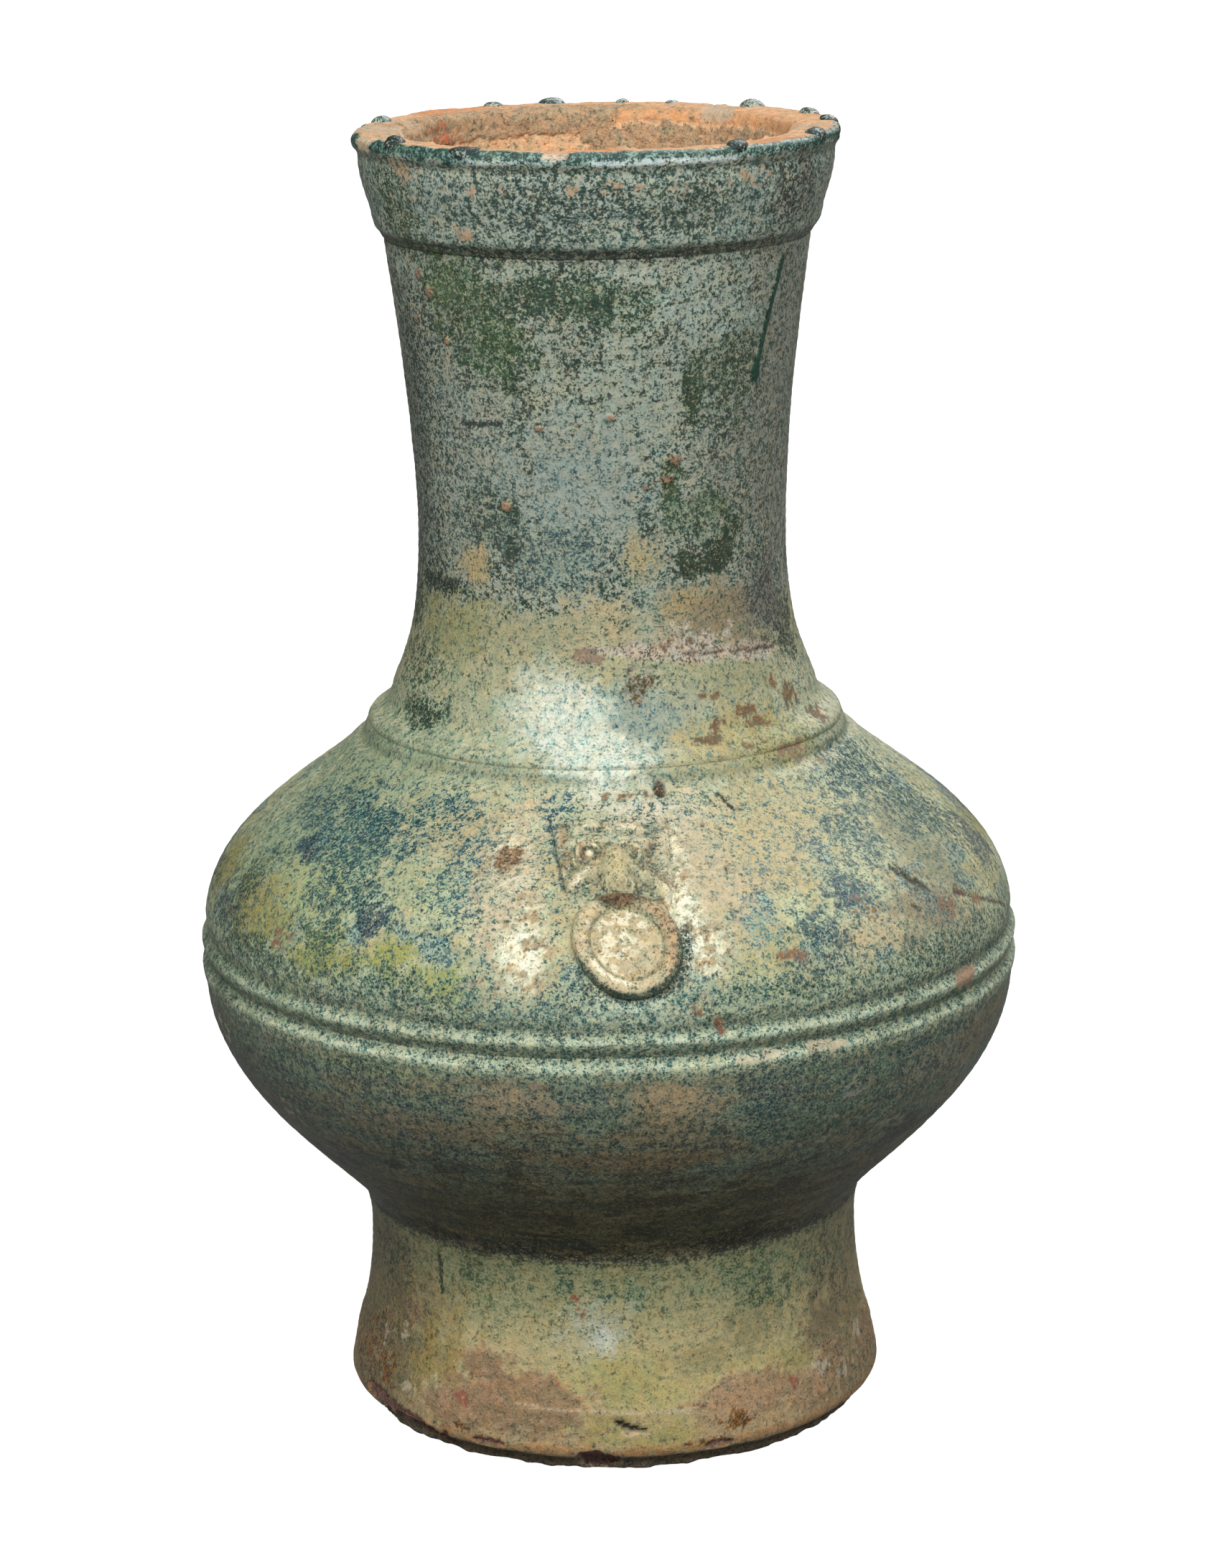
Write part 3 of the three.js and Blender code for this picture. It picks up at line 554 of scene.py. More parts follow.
def paint_shoulder(s):
    """Teal clusters, olive patches, scratches and the pool round the ring."""
    # The film's colours: place, half sizes, blur and colour.
    for angle, level, wide, tall, blur, colour in (
            (-62, 190, 44, 40, 0.6, (150, 164, 130)), (-52, 183, 18, 8, 0.6, (172, 178, 126)),
            (-60, 172, 16, 7, 0.5, (162, 158, 94)), (-43, 168.5, 14, 6, 0.6, (158, 158, 84)),
            (-32, 172.5, 9, 5, 0.5, (160, 162, 86)), (-23, 166, 12, 6, 0.6, (166, 170, 104)),
            (-27, 203, 17, 8, 0.6, (182, 172, 136)), (-16, 190, 9, 18, 0.6, (204, 188, 158)),
            (-33, 189, 10, 6, 0.6, (174, 180, 140)), (35, 203, 20, 10, 0.7, (182, 170, 126)),
            (28, 192, 10, 6, 0.6, (188, 174, 130)), (18, 201, 10, 10, 0.6, (192, 180, 144)),
            (20, 188, 9, 9, 0.6, (194, 178, 142)), (40, 173.5, 16, 7, 0.6, (190, 178, 142)),
            (54, 176, 18, 10, 0.7, (152, 142, 112)), (62, 190, 16, 14, 0.7, (146, 146, 112)),
            (8, 208, 14, 5, 0.6, (210, 204, 182))):
        s.tint(colour, s.patch(angle, level, wide, tall, blur, 1.3))
    # The teal clusters: place, half sizes, amount and colour.
    for angle, level, wide, tall, amount, colour in (
            (-57.6, 192.7, 8, 3.6, 1.02, (12, 60, 80)), (-50, 199, 24, 7, 0.70, (22, 80, 88)),
            (-66, 199, 14, 5, 0.62, (24, 76, 82)), (-33, 208, 10, 4, 0.58, (28, 86, 92)),
            (-46, 186, 13, 7, 0.70, (22, 80, 84)), (-36.3, 179.5, 5.5, 6, 0.98, (12, 64, 80)),
            (-22.4, 195.2, 8, 7, 0.58, (34, 92, 104)), (-24, 186, 9, 5, 0.56, (28, 90, 98)),
            (-44, 174, 12, 5, 0.66, (22, 78, 70)), (-66, 180, 7, 10, 0.66, (28, 76, 62)),
            (-29, 162.5, 30, 4.6, 0.70, (24, 78, 72)), (-11, 161.5, 20, 3.6, 0.62, (30, 86, 90)),
            (-15, 167, 12, 4, 0.56, (36, 92, 94)), (-60, 163, 22, 4.4, 0.74, (26, 70, 56)),
            (25.7, 194, 5, 4, 0.54, (34, 98, 106)), (38.9, 184.5, 8.5, 5.0, 0.86, (16, 76, 90)),
            (31, 176.6, 8, 5, 0.76, (20, 80, 88)), (22, 181, 6, 5, 0.50, (50, 116, 124)),
            (48, 196, 10, 6, 0.62, (26, 84, 86)), (65, 209, 20, 6, 0.66, (28, 80, 80)),
            (71, 195, 14, 8, 0.66, (32, 80, 76)), (11, 165.5, 8, 4, 0.56, (38, 92, 94)),
            (22, 163, 22, 3.6, 0.66, (28, 80, 70)), (50, 164, 24, 4, 0.64, (30, 80, 70)),
            (-10, 204, 5, 7, 0.55, (34, 90, 105)), (30, 169, 9, 4, 0.66, (29, 79, 85))):
        cluster = s.patch(angle, level, wide, tall, 0.45, 1.4)
        s.cover(cluster, None, colour, amount=amount)
        s.tint((116, 150, 134), 0.8 * max(amount - 0.45, 0) * cluster)
    for angle in range(80, 290, 19):
        level = 186 + 17 * math.sin(angle * 1.3)
        s.daub((angle, level, 9 + angle % 8, 5 + angle % 6, 0.6, 1.2, None, (48, 72, 80), 0.82))
        s.tint((156, 150, 92), s.patch(angle + 9, 176 - 8 * math.sin(angle), 13, 7, 0.6, 1.2))

    s.cover(0.8 * s.patch(15, 190, 9, 15, 0.6), (194, 180, 148), (150, 134, 104), amount=0.22)
    s.cover(0.7 * s.patch(30, 196, 12, 8, 0.6), (184, 170, 126), None, amount=0.26)

    # Glaze pooled round the ring and at the mask's left edge, darkened there too as painted shade,
    # and painted highlights with glints on either side of the ring.
    across, up = sprig_place(s.angle, s.radius, s.height)
    out = np.hypot(across, up)
    near = between(s.height, 156, 213, 2)
    # Painted highlights beside the ring, with painted glints and brown specks in them.
    painted_highlight = s.patch(12.6, 178.0, 7.5, 11, 0.6, 1.4) + s.patch(-12.4, 175.5, 7.5, 10, 0.6, 1.4)
    painted_highlight = painted_highlight + 0.7 * s.patch(11.5, 196, 4, 9, 0.7) + 0.5 * s.patch(-17, 197, 7, 8, 0.7)
    painted_highlight = near * np.clip(painted_highlight, 0, 1)
    glints = ramp(s.rough, -0.05, 0.2)
    dull = ramp(-s.rough, 0.12, 0.3)
    s.cover(painted_highlight, (204, 200, 168), (140, 134, 102), gloss=0.55, amount=0.30)
    s.cover(painted_highlight * glints, (230, 224, 202), None, gloss=0.85, amount=0.24)
    s.cover(0.8 * painted_highlight * dull, (158, 134, 100), (112, 84, 56), amount=0.42)
    rusty = near * s.flakes(-17, 197, 5.5, 3.6, 0.95)
    s.cover(rusty, (150, 118, 86), (98, 70, 48), amount=0.5)
    from_pool = np.abs(out - RING_RADIUS - 1.4) / 2.2 + 0.5 * s.ragged
    pool = near * (1 - ramp(from_pool, 0.6, 1.2)) * (1 - ramp(up, 6, 14))
    s.cover(pool * ramp(across * 0.5 - up + 5 * s.middle, -4, 10), None, (32, 64, 60), amount=0.80, gloss=0.5)
    below = near * (1 - ramp(np.hypot(across / 20, (up + 21) / 6.5) + 0.5 * s.ragged, 0.6, 1.2))
    s.cover(0.7 * below, (184, 194, 170), (54, 96, 92), amount=0.48)
    reach = sprig_reach(np.arctan2(up, across))
    beside = near * (1 - ramp(np.abs(out - reach - 1.1) / 1.5, 0.4, 1.1))
    beside = beside * ramp(up, 15, 20) * (1 - ramp(up, 42, 47))
    s.lift -= 0.6 * beside + 0.3 * pool
    # The mask's left edge: glaze pooled in its groove, darkened further as painted shade.
    s.cover(0.8 * beside * (across < 0), (128, 128, 108), (58, 74, 70), amount=0.75)
    s.cover(0.5 * beside * (across > 0), (150, 134, 108), (96, 80, 58), amount=0.6)

    # Olive scratches, a pit, pin holes and a crack.
    for start, end, width in (((50.0, 187), (53.6, 180.2), 1.0), ((52, 183), (51.3, 187.5), 0.7),
                              ((53.4, 182.5), (54.6, 179), 0.8), ((49.5, 177.5), (50.4, 175.5), 0.6),
                              ((24.5, 211), (26.4, 207), 0.45)):
        scratch = s.line(start, end, width, 0.7)
        s.cover(scratch, (58, 58, 24), (40, 40, 16), amount=0.7)
        s.lift -= 0.25 * scratch
    pit = s.patch(11.9, 213.4, 1.9, 2.0, 0.2, 0.3)
    s.cover(pit, (84, 64, 48), (46, 34, 26), amount=0.6)
    s.lift -= 1.5 * pit
    for angle, level, size in (
            (20, 194.5, 0.7), (18.6, 204.5, 0.45), (27.5, 207, 0.4), (31, 192, 0.35), (-21, 204, 0.4)):
        hole = s.patch(angle, level, size, size, 0.3, 0.2)
        s.cover(hole, (60, 48, 38), None, amount=0.1)
        s.lift -= 0.5 * hole
    crack = s.line((60.5, 176), (76, 163.5), 0.55, 0.5) + s.line((60.5, 176), (62.5, 174.5), 1.2, 0.7)
    crack = np.clip(crack, 0, 1)
    s.cover(crack, (84, 54, 40), None, amount=0.1)
    s.lift -= 0.4 * crack
    # Brown flakes: place, half sizes and share, then chips with their colours.
    for angle, level, wide, tall, share in (
            (26, 172, 6, 3, 0.6), (57, 174, 5, 5, 0.75), (11.5, 160, 2.4, 3.4, 0.9),
            (-52, 170, 7, 4, 0.55), (40, 181, 9, 5, 0.45), (3, 212, 12, 2.2, 0.42), (66, 170, 6, 4, 0.6)):
        s.cover(s.flakes(angle, level, wide, tall, share), (136, 104, 76), None, amount=0.2)
    for angle, level, wide, tall, colour in (
            (14.5, 155.2, 1.5, 2.8, (124, 80, 58)), (20, 144.6, 7.5, 1.4, (196, 188, 160)),
            (31, 145.2, 8, 1.4, (190, 178, 150)), (57, 152, 6.5, 2.6, (158, 130, 106))):
        chip = s.patch(angle, level, wide, tall, 0.15, 1.1)
        s.cover(chip, colour, None, amount=0.14, bare=0.5)
        s.lift -= 0.25 * chip


def paint_belly(s):
    """Pale scabs, tan streaks and a healed nick below the ribs."""
    for angle, level, wide, tall, colour, amount in (
            (-12, 133.5, 17, 5, (142, 128, 102), 0.36), (9, 134, 16, 5.5, (150, 134, 102), 0.28),
            (-36, 139.5, 20, 2.6, (144, 154, 118), 0.44), (-30, 120, 26, 6, (124, 116, 92), 0.48),
            (2, 112, 30, 4, (118, 106, 78), 0.46), (50, 128, 20, 5, (128, 124, 104), 0.46)):
        s.daub((angle, level, wide, tall, 0.6, 1.2, colour, None, amount))
    # Painted shade on the far left of the lower belly.
    s.cover(0.8 * s.patch(-86, 118, 60, 26, 0.6, 0.6), (66, 76, 62), (20, 34, 30), amount=0.66)
    s.daub((34, 126, 34, 14, 0.6, None, (26, 66, 58), 0.66),
           (22, 133, 10, 9, 0.5, 1.2, None, (24, 60, 62), 0.74),
           (-35, 136, 12, 5, 0.5, 1.2, None, (34, 62, 55), 0.70))
    for angle, level, wide, tall, share in (
            (45, 112, 12, 6, 0.42), (48, 130, 14, 5, 0.46), (34, 128, 9, 6, 0.34), (12, 124, 7, 4, 0.50),
            (60, 122, 10, 8, 0.40), (30, 113, 12, 4, 0.36), (62, 138, 10, 3, 0.5)):
        scab = s.flakes(angle, level, wide, tall, share)
        s.cover(0.7 * scab, (132, 130, 116), None, amount=0.2)
        s.lift += 0.08 * scab
    for angle in range(85, 320, 17):
        scab = s.flakes(angle, 124 + 15 * math.sin(angle * 0.9), 9 + angle % 5, 5 + angle % 4, 0.4)
        s.cover(scab, (146, 140, 122), None, amount=0.16)
        s.lift += 0.12 * scab
    s.tint((150, 144, 124), s.patch(15.8, 97.6, 3.4, 1.0, 0.2, 0.2))
    s.lift -= 0.7 * s.patch(15.8, 96.9, 3.0, 0.6, 0.3, 0.2)
    s.change("amount", 0.9, s.patch(17, 87.6, 6.5, 2.0, 0.3, 0.5))
    s.change("amount", 0.85, s.patch(0, 94, 18, 1.6, 0.4, 0.8))


def paint_foot(s):
    """Yellow glaze, clay-coloured crust, drips, the slit and the chipped edge."""
    z = s.height
    foot = 1 - ramp(z, FOOT_TOP - 2, FOOT_TOP)
    upright = cloud(s.points, 8, 3, 12, stretch=(1, 1, 3.5))
    s.amount += 0.16 * upright * foot * ramp(z, 24, 40)
    for angle, level, wide, tall, blur, stain, amount in (
            (-12, 61, 10, 5, 0.6, (70, 90, 64), 0.54), (38, 53, 13, 9, 0.6, (66, 84, 54), 0.60),
            (28, 58, 8, 6, 0.6, (70, 90, 62), 0.52), (3, 57, 6, 7, 0.6, (74, 98, 76), 0.46),
            (-36, 60, 7, 5, 0.6, (64, 82, 50), 0.56), (-68, 55, 14, 12, 0.6, (60, 64, 52), 0.60),
            (62, 50, 12, 14, 0.6, (64, 66, 50), 0.56)):
        smear = foot * s.patch(angle, level, wide, tall, blur, 1.2) * ramp(upright, -0.7, 0.2)
        s.cover(smear, None, stain, amount=amount)
        s.tint((122, 138, 104), 0.5 * smear)
    drip = foot * s.line((-44, 63), (-43.4, 50), 1.0, 0.8)
    s.cover(drip, None, (34, 58, 30), amount=1.0, gloss=0.4)
    # Tints round the foot: place, half sizes and colour. The first two, pale at the front, are a painted
    # sheen, with the gloss raised there after the table.
    for angle, level, wide, tall, colour in (
            (-3, 42, 9, 10, (168, 170, 146)), (-2, 40, 4.5, 6, (182, 188, 174)),
            (2, 31, 12, 7, (164, 156, 98)), (-2, 16, 8, 6, (158, 148, 92)),
            (9, 12, 10, 4, (158, 146, 90)), (-56, 24, 12, 8, (142, 126, 78)),
            (-42, 27, 8, 8, (156, 138, 88)), (44, 25, 8, 5, (160, 148, 92)),
            (20, 33, 12, 5, (156, 144, 100)), (-58, 40, 14, 10, (128, 120, 82)),
            (-44, 45, 8, 10, (158, 144, 98)), (56, 33, 9, 9, (128, 114, 82)),
            (33, 42, 10, 8, (146, 140, 100))):
        s.tint(colour, foot * s.patch(angle, level, wide, tall, 0.6, 1.2))
    s.change("gloss", 0.5, foot * s.patch(-2, 41, 8, 9, 0.6))
    ochre = foot * s.patch(-48, 34, 17, 22, 0.6) * ramp(upright, -0.2, 0.4)
    s.cover(0.8 * ochre, (164, 142, 72), (120, 100, 48), amount=0.36)
    for angle in range(75, 300, 21):
        s.tint((154, 142, 88), foot * s.patch(angle, 26 + 7 * math.sin(angle), 13, 9, 0.6, 1.2))
        s.cover(foot * s.patch(angle + 10, 54, 12, 6, 0.6), None, (58, 78, 62), amount=0.6)

    # Rough crust the colour of the clay: a broad plate on the left and thinner ones round the band.
    crust = np.zeros(len(z))
    for angle, level, wide, tall in (
            (-20, 22.0, 22, 8.5), (-30, 31, 9, 5), (-36, 16, 12, 5), (30, 21, 17, 7),
            (48, 17, 14, 6), (56, 22, 7, 7), (-54, 40, 4, 4), (-64, 30, 5, 8)):
        crust = np.maximum(crust, s.patch(angle, level, wide, tall, 0.35, 0.7))
    for angle in range(80, 290, 26):
        crust = np.maximum(crust, s.patch(angle, 20, 15, 7, 0.35, 0.8))
    crust = crust * foot * (1 - s.patch(4, 19, 9, 11, 0.3, 0.9))
    s.cover(crust, (168, 140, 106), (130, 104, 76), amount=0.26, bare=0.9, crust=0.4)
    s.tint((146, 120, 88), crust * s.patch(-26, 20, 34, 14, 0.5))
    s.lift += crust * (0.32 + 0.22 * np.clip(s.middle + 0.5 * s.fine, -0.7, 1.0))
    s.tint((148, 124, 90), 0.6 * crust * ramp(s.middle - 0.4 * s.fine, 0.0, 0.6))
    s.tint((176, 142, 110), 0.5 * crust * ramp(s.fine - s.middle, 0.2, 0.9))
    # A painted shadow under the lower edge of the crust plate at the front left.
    s.cover(0.6 * foot * s.patch(-20, 13.0, 20, 1.6, 0.5, 0.8), (150, 126, 94), (104, 82, 58), amount=0.5)
    seam = foot * bell(z, 19.4 - 0.8 * s.middle, 1.1) * ramp(s.wide, -0.8, 0.2)
    s.lift += 0.25 * seam
    # A painted highlight along the front of the raised seam.
    s.cover(0.6 * foot * s.line((-22, 20.8), (16, 18.8), 0.6, 0.9), (196, 178, 148), None, amount=0.2)
    # Darker towards the left and right sides of the foot.
    s.cover(0.75 * foot * s.patch(-70, 34, 28, 40, 0.6, 0.6), (118, 104, 72), (54, 50, 32), amount=0.50)
    s.cover(0.6 * foot * s.patch(70, 30, 26, 40, 0.6, 0.6), (126, 110, 80), (60, 54, 38), amount=0.44)

    # White salts, red-brown spots and amber drips.
    for angle, level, wide, tall, share in (
            (-41, 21, 4, 5, 0.4), (-64, 27, 5, 5, 0.5), (-52, 17, 8, 3.4, 0.38), (59.6, 17, 6, 4, 0.75),
            (52, 21, 6, 3, 0.6), (-56, 33, 4, 4, 0.55), (70, 22, 5, 5, 0.7)):
        salt = foot * s.flakes(angle, level, wide, tall, share)
        s.cover(0.7 * salt, (182, 172, 150), None, amount=0.16)
        s.lift += 0.2 * salt
    for angle, level, wide, tall, share in (
            (-9, 54, 3.0, 2.0, 0.7), (-8, 49.5, 3, 2.4, 0.6), (-14, 27.5, 3, 2, 0.6),
            (-34, 20, 6, 3.0, 0.6), (17, 20, 7, 2.0, 0.6), (42, 19.5, 3, 3.2, 0.6)):
        s.cover(foot * s.flakes(angle, level, wide, tall, share), (140, 84, 64), None, amount=0.2)
    drips = s.flakes(26.3, 13, 5.5, 4.5, 0.85)
    for angle, level, wide, tall, share in (
            (17, 9, 9, 1.6, 0.8), (-17, 10.5, 4, 2, 0.6), (-60, 19, 10, 7, 0.62),
            (-48, 31, 5, 6, 0.5), (-70, 24, 8, 8, 0.6), (-34, 10, 8, 2.4, 0.6)):
        drips = np.maximum(drips, s.flakes(angle, level, wide, tall, share))
    drips = drips * foot
    s.cover(drips, (134, 90, 38), (92, 58, 22), amount=0.5, gloss=0.8, bare=0.0)
    s.lift += 0.2 * drips

    # Orange-brown line along the band's lower edge, then the set-back lip.
    edge = foot * bell(z, 7.6 - 1.2 * s.fine, 1.0)
    s.tint((176, 122, 66), 0.7 * edge)
    lip = 1 - ramp(z + 0.5 * s.fine, 4.7, 5.7)
    s.cover(lip, (124, 110, 86), (84, 74, 56), amount=0.4, bare=0.7, crust=0.8)
    s.lift += lip * 0.5 * np.clip(s.middle + 0.5 * s.fine, -1, 1)
    nick = s.patch(-4, 4.2, 6.6, 3.4, 0.1, 0.5)
    chips = (s.line((-66, 9.5), (-40, 4.5), 2.6, 1.0) + nick
             + s.patch(22, 7.5, 4, 1.2, 0.15, 0.8) + s.patch(-28, 7.6, 6, 1.2, 0.15, 0.8)
             + s.patch(118, 5, 10, 3, 0.1, 0.8) + s.patch(205, 5, 7, 3, 0.1, 0.8))
    chips = np.clip(chips, 0, 1) * (1 - ramp(z, 11, 13))
    s.cover(chips, (124, 88, 78), (88, 60, 52), amount=0.40, bare=1.0)
    s.lift -= 1.3 * chips
    rimmed = s.patch(-4, 4.2, 7.3, 4.1, 0.08, 0.5) * (1 - nick)
    s.tint((186, 170, 142), foot * rimmed)
    slit = s.line((0.2, 16.8), (3.4, 14.8), 0.9, 0.4) + s.line((3.4, 14.8), (6.4, 14.2), 0.7, 0.4)
    slit = np.clip(slit, 0, 1)
    s.cover(slit, (36, 28, 20), (30, 22, 16), amount=0.1, bare=1.0)
    s.lift -= 1.8 * slit
    s.tint((190, 164, 128), s.line((1.5, 13.4), (7, 12.6), 0.7, 0.4) * (1 - slit))


def paint_rim(s):
    """Glossy blue-green lip outside with painted highlights, bare clay on top and inside."""
    z, r = s.height, s.radius
    lip = ramp(z + 1.1 * s.fine + 0.5 * s.middle, RIM_TOP - 4.6, RIM_TOP - 3.2)
    outer = ramp(r + 0.6 * s.ragged, 70.9, 72.1)
    glossy = lip * outer
    s.cover(glossy, (116, 142, 132), (26, 64, 54), amount=0.66, gloss=0.95, fleck=0.1)
    thick = glossy * ramp(s.wide + 0.6 * s.middle, -0.6, 0.0) * ramp(z, RIM_TOP - 3.6, RIM_TOP - 2.0)
    s.change("amount", 0.72, thick)
    # Painted highlights: pale blue-white spots along the lip's glaze.
    for angle, wide in ((12, 17), (45, 10), (-25, 9), (-52, 8)):
        lip_highlight = glossy * s.patch(angle, RIM_TOP - 4.4, wide, 1.8, 0.6) * 0.7
        s.cover(lip_highlight, (190, 202, 200), None, amount=0.45)
    for angle, level, wide, tall, share in (
            (3, 389.5, 13, 2.2, 0.62), (-28, 389, 14, 3.0, 0.5), (26, 387, 16, 3, 0.52),
            (-34, 375, 4, 3, 0.8), (40, 390, 12, 4, 0.5), (-52, 391, 9, 6, 0.55)):
        s.cover(s.flakes(angle, level, wide, tall, share), (176, 150, 122), None, amount=0.18)
    s.daub((-58, 382, 12, 12, 0.6, 1.1, None, (50, 76, 34), 0.66),
           (22, 384, 12, 8, 0.6, 1.1, None, (40, 62, 46), 0.66),
           (-10, 384, 26, 10, 0.6, 1.1, None, (34, 64, 58), 0.66),
           (56, 384, 12, 10, 0.6, 1.1, None, (52, 60, 48), 0.66))

    # A painted highlight along the front of the lip.
    lit = s.patch(14, RIM_TOP - 3, 26, 8, 0.4) + 0.6 * s.patch(-24, RIM_TOP - 3, 12, 6, 0.4)
    lit = bell(z, RIM_TOP - 3.6 + 0.4 * s.fine, 0.9) * lit
    s.cover(np.clip(lit, 0, 1), (204, 216, 216), None, amount=0.12, gloss=0.9)

    bare = np.clip((1 - outer) * ramp(z, RIM_TOP - 3.2, RIM_TOP - 1.8) + (r < 62) * (z > CREASE), 0, 1)
    paint_clay(s, bare)
    s.change("gloss", 0.0, bare)
    wavy = lip * (0.35 * s.middle + 0.3 * s.fine)
    s.lift += 0.5 * wavy
    chip = s.patch(-9, RIM_TOP - 1.2, 4.6, 1.8, 0.15, 0.6) * ramp(r, 68, 71)
    s.cover(chip, (190, 168, 146), None, amount=0.2)
    s.lift -= 0.7 * chip
    for angle, wide in ((-92, 12), (-70, 7), (-110, 6), (84, 6), (140, 8)):
        worn = s.patch(angle, RIM_TOP - 1, wide, 4, 0.15, 1.0) * ramp(z, RIM_TOP - 5, RIM_TOP - 3)
        s.cover(worn, (188, 166, 138), None, amount=0.15, bare=1.0)
        s.lift -= 0.45 * worn


def paint_clay(s, mask):
    """Bare orange clay, with soil caked inside below the rim at the back."""
    s.cover(mask, (214, 170, 128), (190, 144, 106), amount=0.28, bare=1.0, crackle=0.0, fleck=0.06)
    s.tint((208, 142, 92), mask * ramp(s.wide + 0.4 * s.middle, 0.05, 0.6))
    inside = 1 - ramp(s.radius, 61.0, 64.0)
    s.tint((222, 180, 138), mask * inside)
    rough = 0.3 * s.middle + 0.35 * s.fine + 0.3 * s.grit
    left, right = (1 - ramp(np.abs(wrapped(s.angle - turn)), wide, wide + 14)
                   for turn, wide in ((-144, 40), (134, 42)))
    shallow = between(s.height, 391.5, 402, 1.6)
    deeper = between(s.height, 380, 394.5, 1.6)
    soil = ramp(np.maximum(left * shallow, right * deeper) + rough, 0.40, 0.62)
    soil = soil * mask * (1 - ramp(s.radius, 62.0, 66.0))
    s.cover(soil, (184, 154, 120), (150, 122, 94), amount=0.38, crust=0.4)
    s.lift += soil * (0.3 + 0.4 * np.clip(s.fine + 0.3 * s.middle + 0.3 * s.grit, -0.7, 1.2))
    orange = mask * inside * right * between(s.height, 395, 400, 1.0) * (1 - soil)
    s.tint((204, 152, 106), 0.8 * orange)
    s.tint((196, 108, 68), 0.8 * mask * s.flakes(-126, 394, 9, 4, 0.85))
    s.tint((206, 124, 78), 0.6 * mask * s.flakes(-104, 398, 12, 3, 0.7))


def paint_sprig(s, across, up, hollow):
    """The shoulder's glaze, worn buff on what stands up and pooled dark below the ring,
    with painted glints on the ridges and the ring and a painted shadow under the nose.
    Hollow says how much deeper each place lies than what is round it."""
    paint_ground(s)
    paint_shoulder(s)
    out = np.hypot(across, up)
    glints = ramp(s.rough, -0.05, 0.2)
    inset = sprig_reach(np.arctan2(up, across)) - out
    face = ramp(up, 13, 18) * ramp(inset, 0.5, 5)
    s.cover(0.55 * face, (184, 174, 142), (92, 96, 80), amount=0.42, gloss=0.35, crackle=0.2)
    ridges = face * ramp(-hollow + 0.12 * s.fine, 0.10, 0.42)
    s.cover(0.75 * ridges, (198, 184, 150), (140, 118, 86), amount=0.28, gloss=0.5)
    # Painted glints on the ridges' high points.
    s.cover(0.8 * ridges * ramp(s.rough, 0.14, 0.3), (214, 204, 174), None, gloss=0.8, amount=0.14)
    valleys = face * ramp(hollow + 0.10 * s.fine, 0.06, 0.36)
    s.cover(0.70 * valleys, (148, 138, 106), (84, 84, 64), amount=0.60)
    s.dye((56, 90, 88), 0.6 * valleys * ramp(s.middle, -0.2, 0.3))
    for start, end, width in (
            ((-14.6, 26), (-14.0, 38), 2.2), ((-9.6, 26.5), (-9.2, 33), 1.5),
            ((10.0, 28), (10.8, 34), 1.6), ((-6.4, 25.6), (-2.6, 31), 1.0),
            ((2.4, 31.8), (7.0, 31.4), 0.8), ((7.0, 23.6), (13.4, 19.6), 1.4),
            ((13.4, 19.6), (16.6, 19.2), 1.0), ((-15.6, 20.5), (-12.5, 24), 1.2)):
        brown = ridge(across, up, start, end, width, 1.0) * ramp(s.fine + 0.6 * s.grit, -0.5, 0.1)
        s.cover(0.75 * brown, (150, 120, 86), (108, 80, 54), amount=0.48)

    lower = 1 - ramp(up, 9, 14)
    bar = dome(np.abs(out - 13.3) / 3.0) * lower
    s.cover(bar, (200, 182, 146), (132, 108, 74), amount=0.34, gloss=0.45, crackle=0.1)
    s.cover(bar * ramp(across + 0.6 * up, 2, 12), (180, 154, 116), (118, 86, 56), amount=0.5)
    disc = 1 - ramp(out + 0.7 * s.ragged, 9.4, 10.6)
    s.cover(disc, (190, 176, 140), (140, 116, 80), amount=0.36, gloss=0.4)
    # Painted glints on the disc, most on its upper left side.
    bright = disc * glints * (1 - 0.8 * ramp(across - 0.7 * up, 0, 8))
    s.cover(bright, (220, 212, 184), None, gloss=0.6, amount=0.2)
    inner = dome(np.abs(out - 10.6) / 1.0) * lower
    s.cover(0.45 * inner * ramp(s.fine, -0.5, 0.2), (160, 138, 102), (104, 82, 54), amount=0.5)
    # Painted glints on the bar's inner slope at the lower left.
    bright = lower * dome(np.abs(out - 11.6) / 1.2) * ramp(-across - 0.6 * up, 4, 10)
    bright = bright * ramp(s.rough, -0.3, 0.1)
    s.cover(bright, (228, 218, 192), None, gloss=0.9, amount=0.1)
    outer = ramp(out + 0.8 * s.ragged, 13.9, 15.0) * lower
    pooled = outer * ramp(s.ragged + 0.10 * (across * 0.4 - up), -0.3, 0.8)
    s.cover(pooled, (124, 130, 104), (38, 66, 58), amount=0.74, gloss=0.5)
    # Brown crust on the ring's top under the nose, darkened also as the painted shadow that the nose casts
    # there.
    crust = dome(np.hypot(across / 9.5, (up - 13.4) / 2.6) + 0.5 * s.ragged, 3)
    s.cover(crust, (126, 98, 68), (74, 52, 34), amount=0.55, bare=0.7, crust=0.8)
    nose = 1 - ramp(np.hypot(across / 4.8, (up - 23.5) / 6.5) + 0.4 * s.ragged, 0.6, 1.1)
    s.cover(nose, (192, 182, 142), (124, 110, 76), amount=0.34)


def paint(surface):
    """All of the vase's glaze, with the slight unevenness of the throwing."""
    for coat in (paint_ground, paint_bands, paint_neck, paint_shoulder, paint_belly, paint_foot, paint_rim):
        coat(surface)
    thrown = 0.22 * cloud(surface.points, 60, 2, 8) + 0.07 * surface.middle
    turning = 0.05 * np.sin(surface.height * 2.1 + 3 * surface.wide)
    surface.lift += thrown + turning + 0.06 * surface.fine


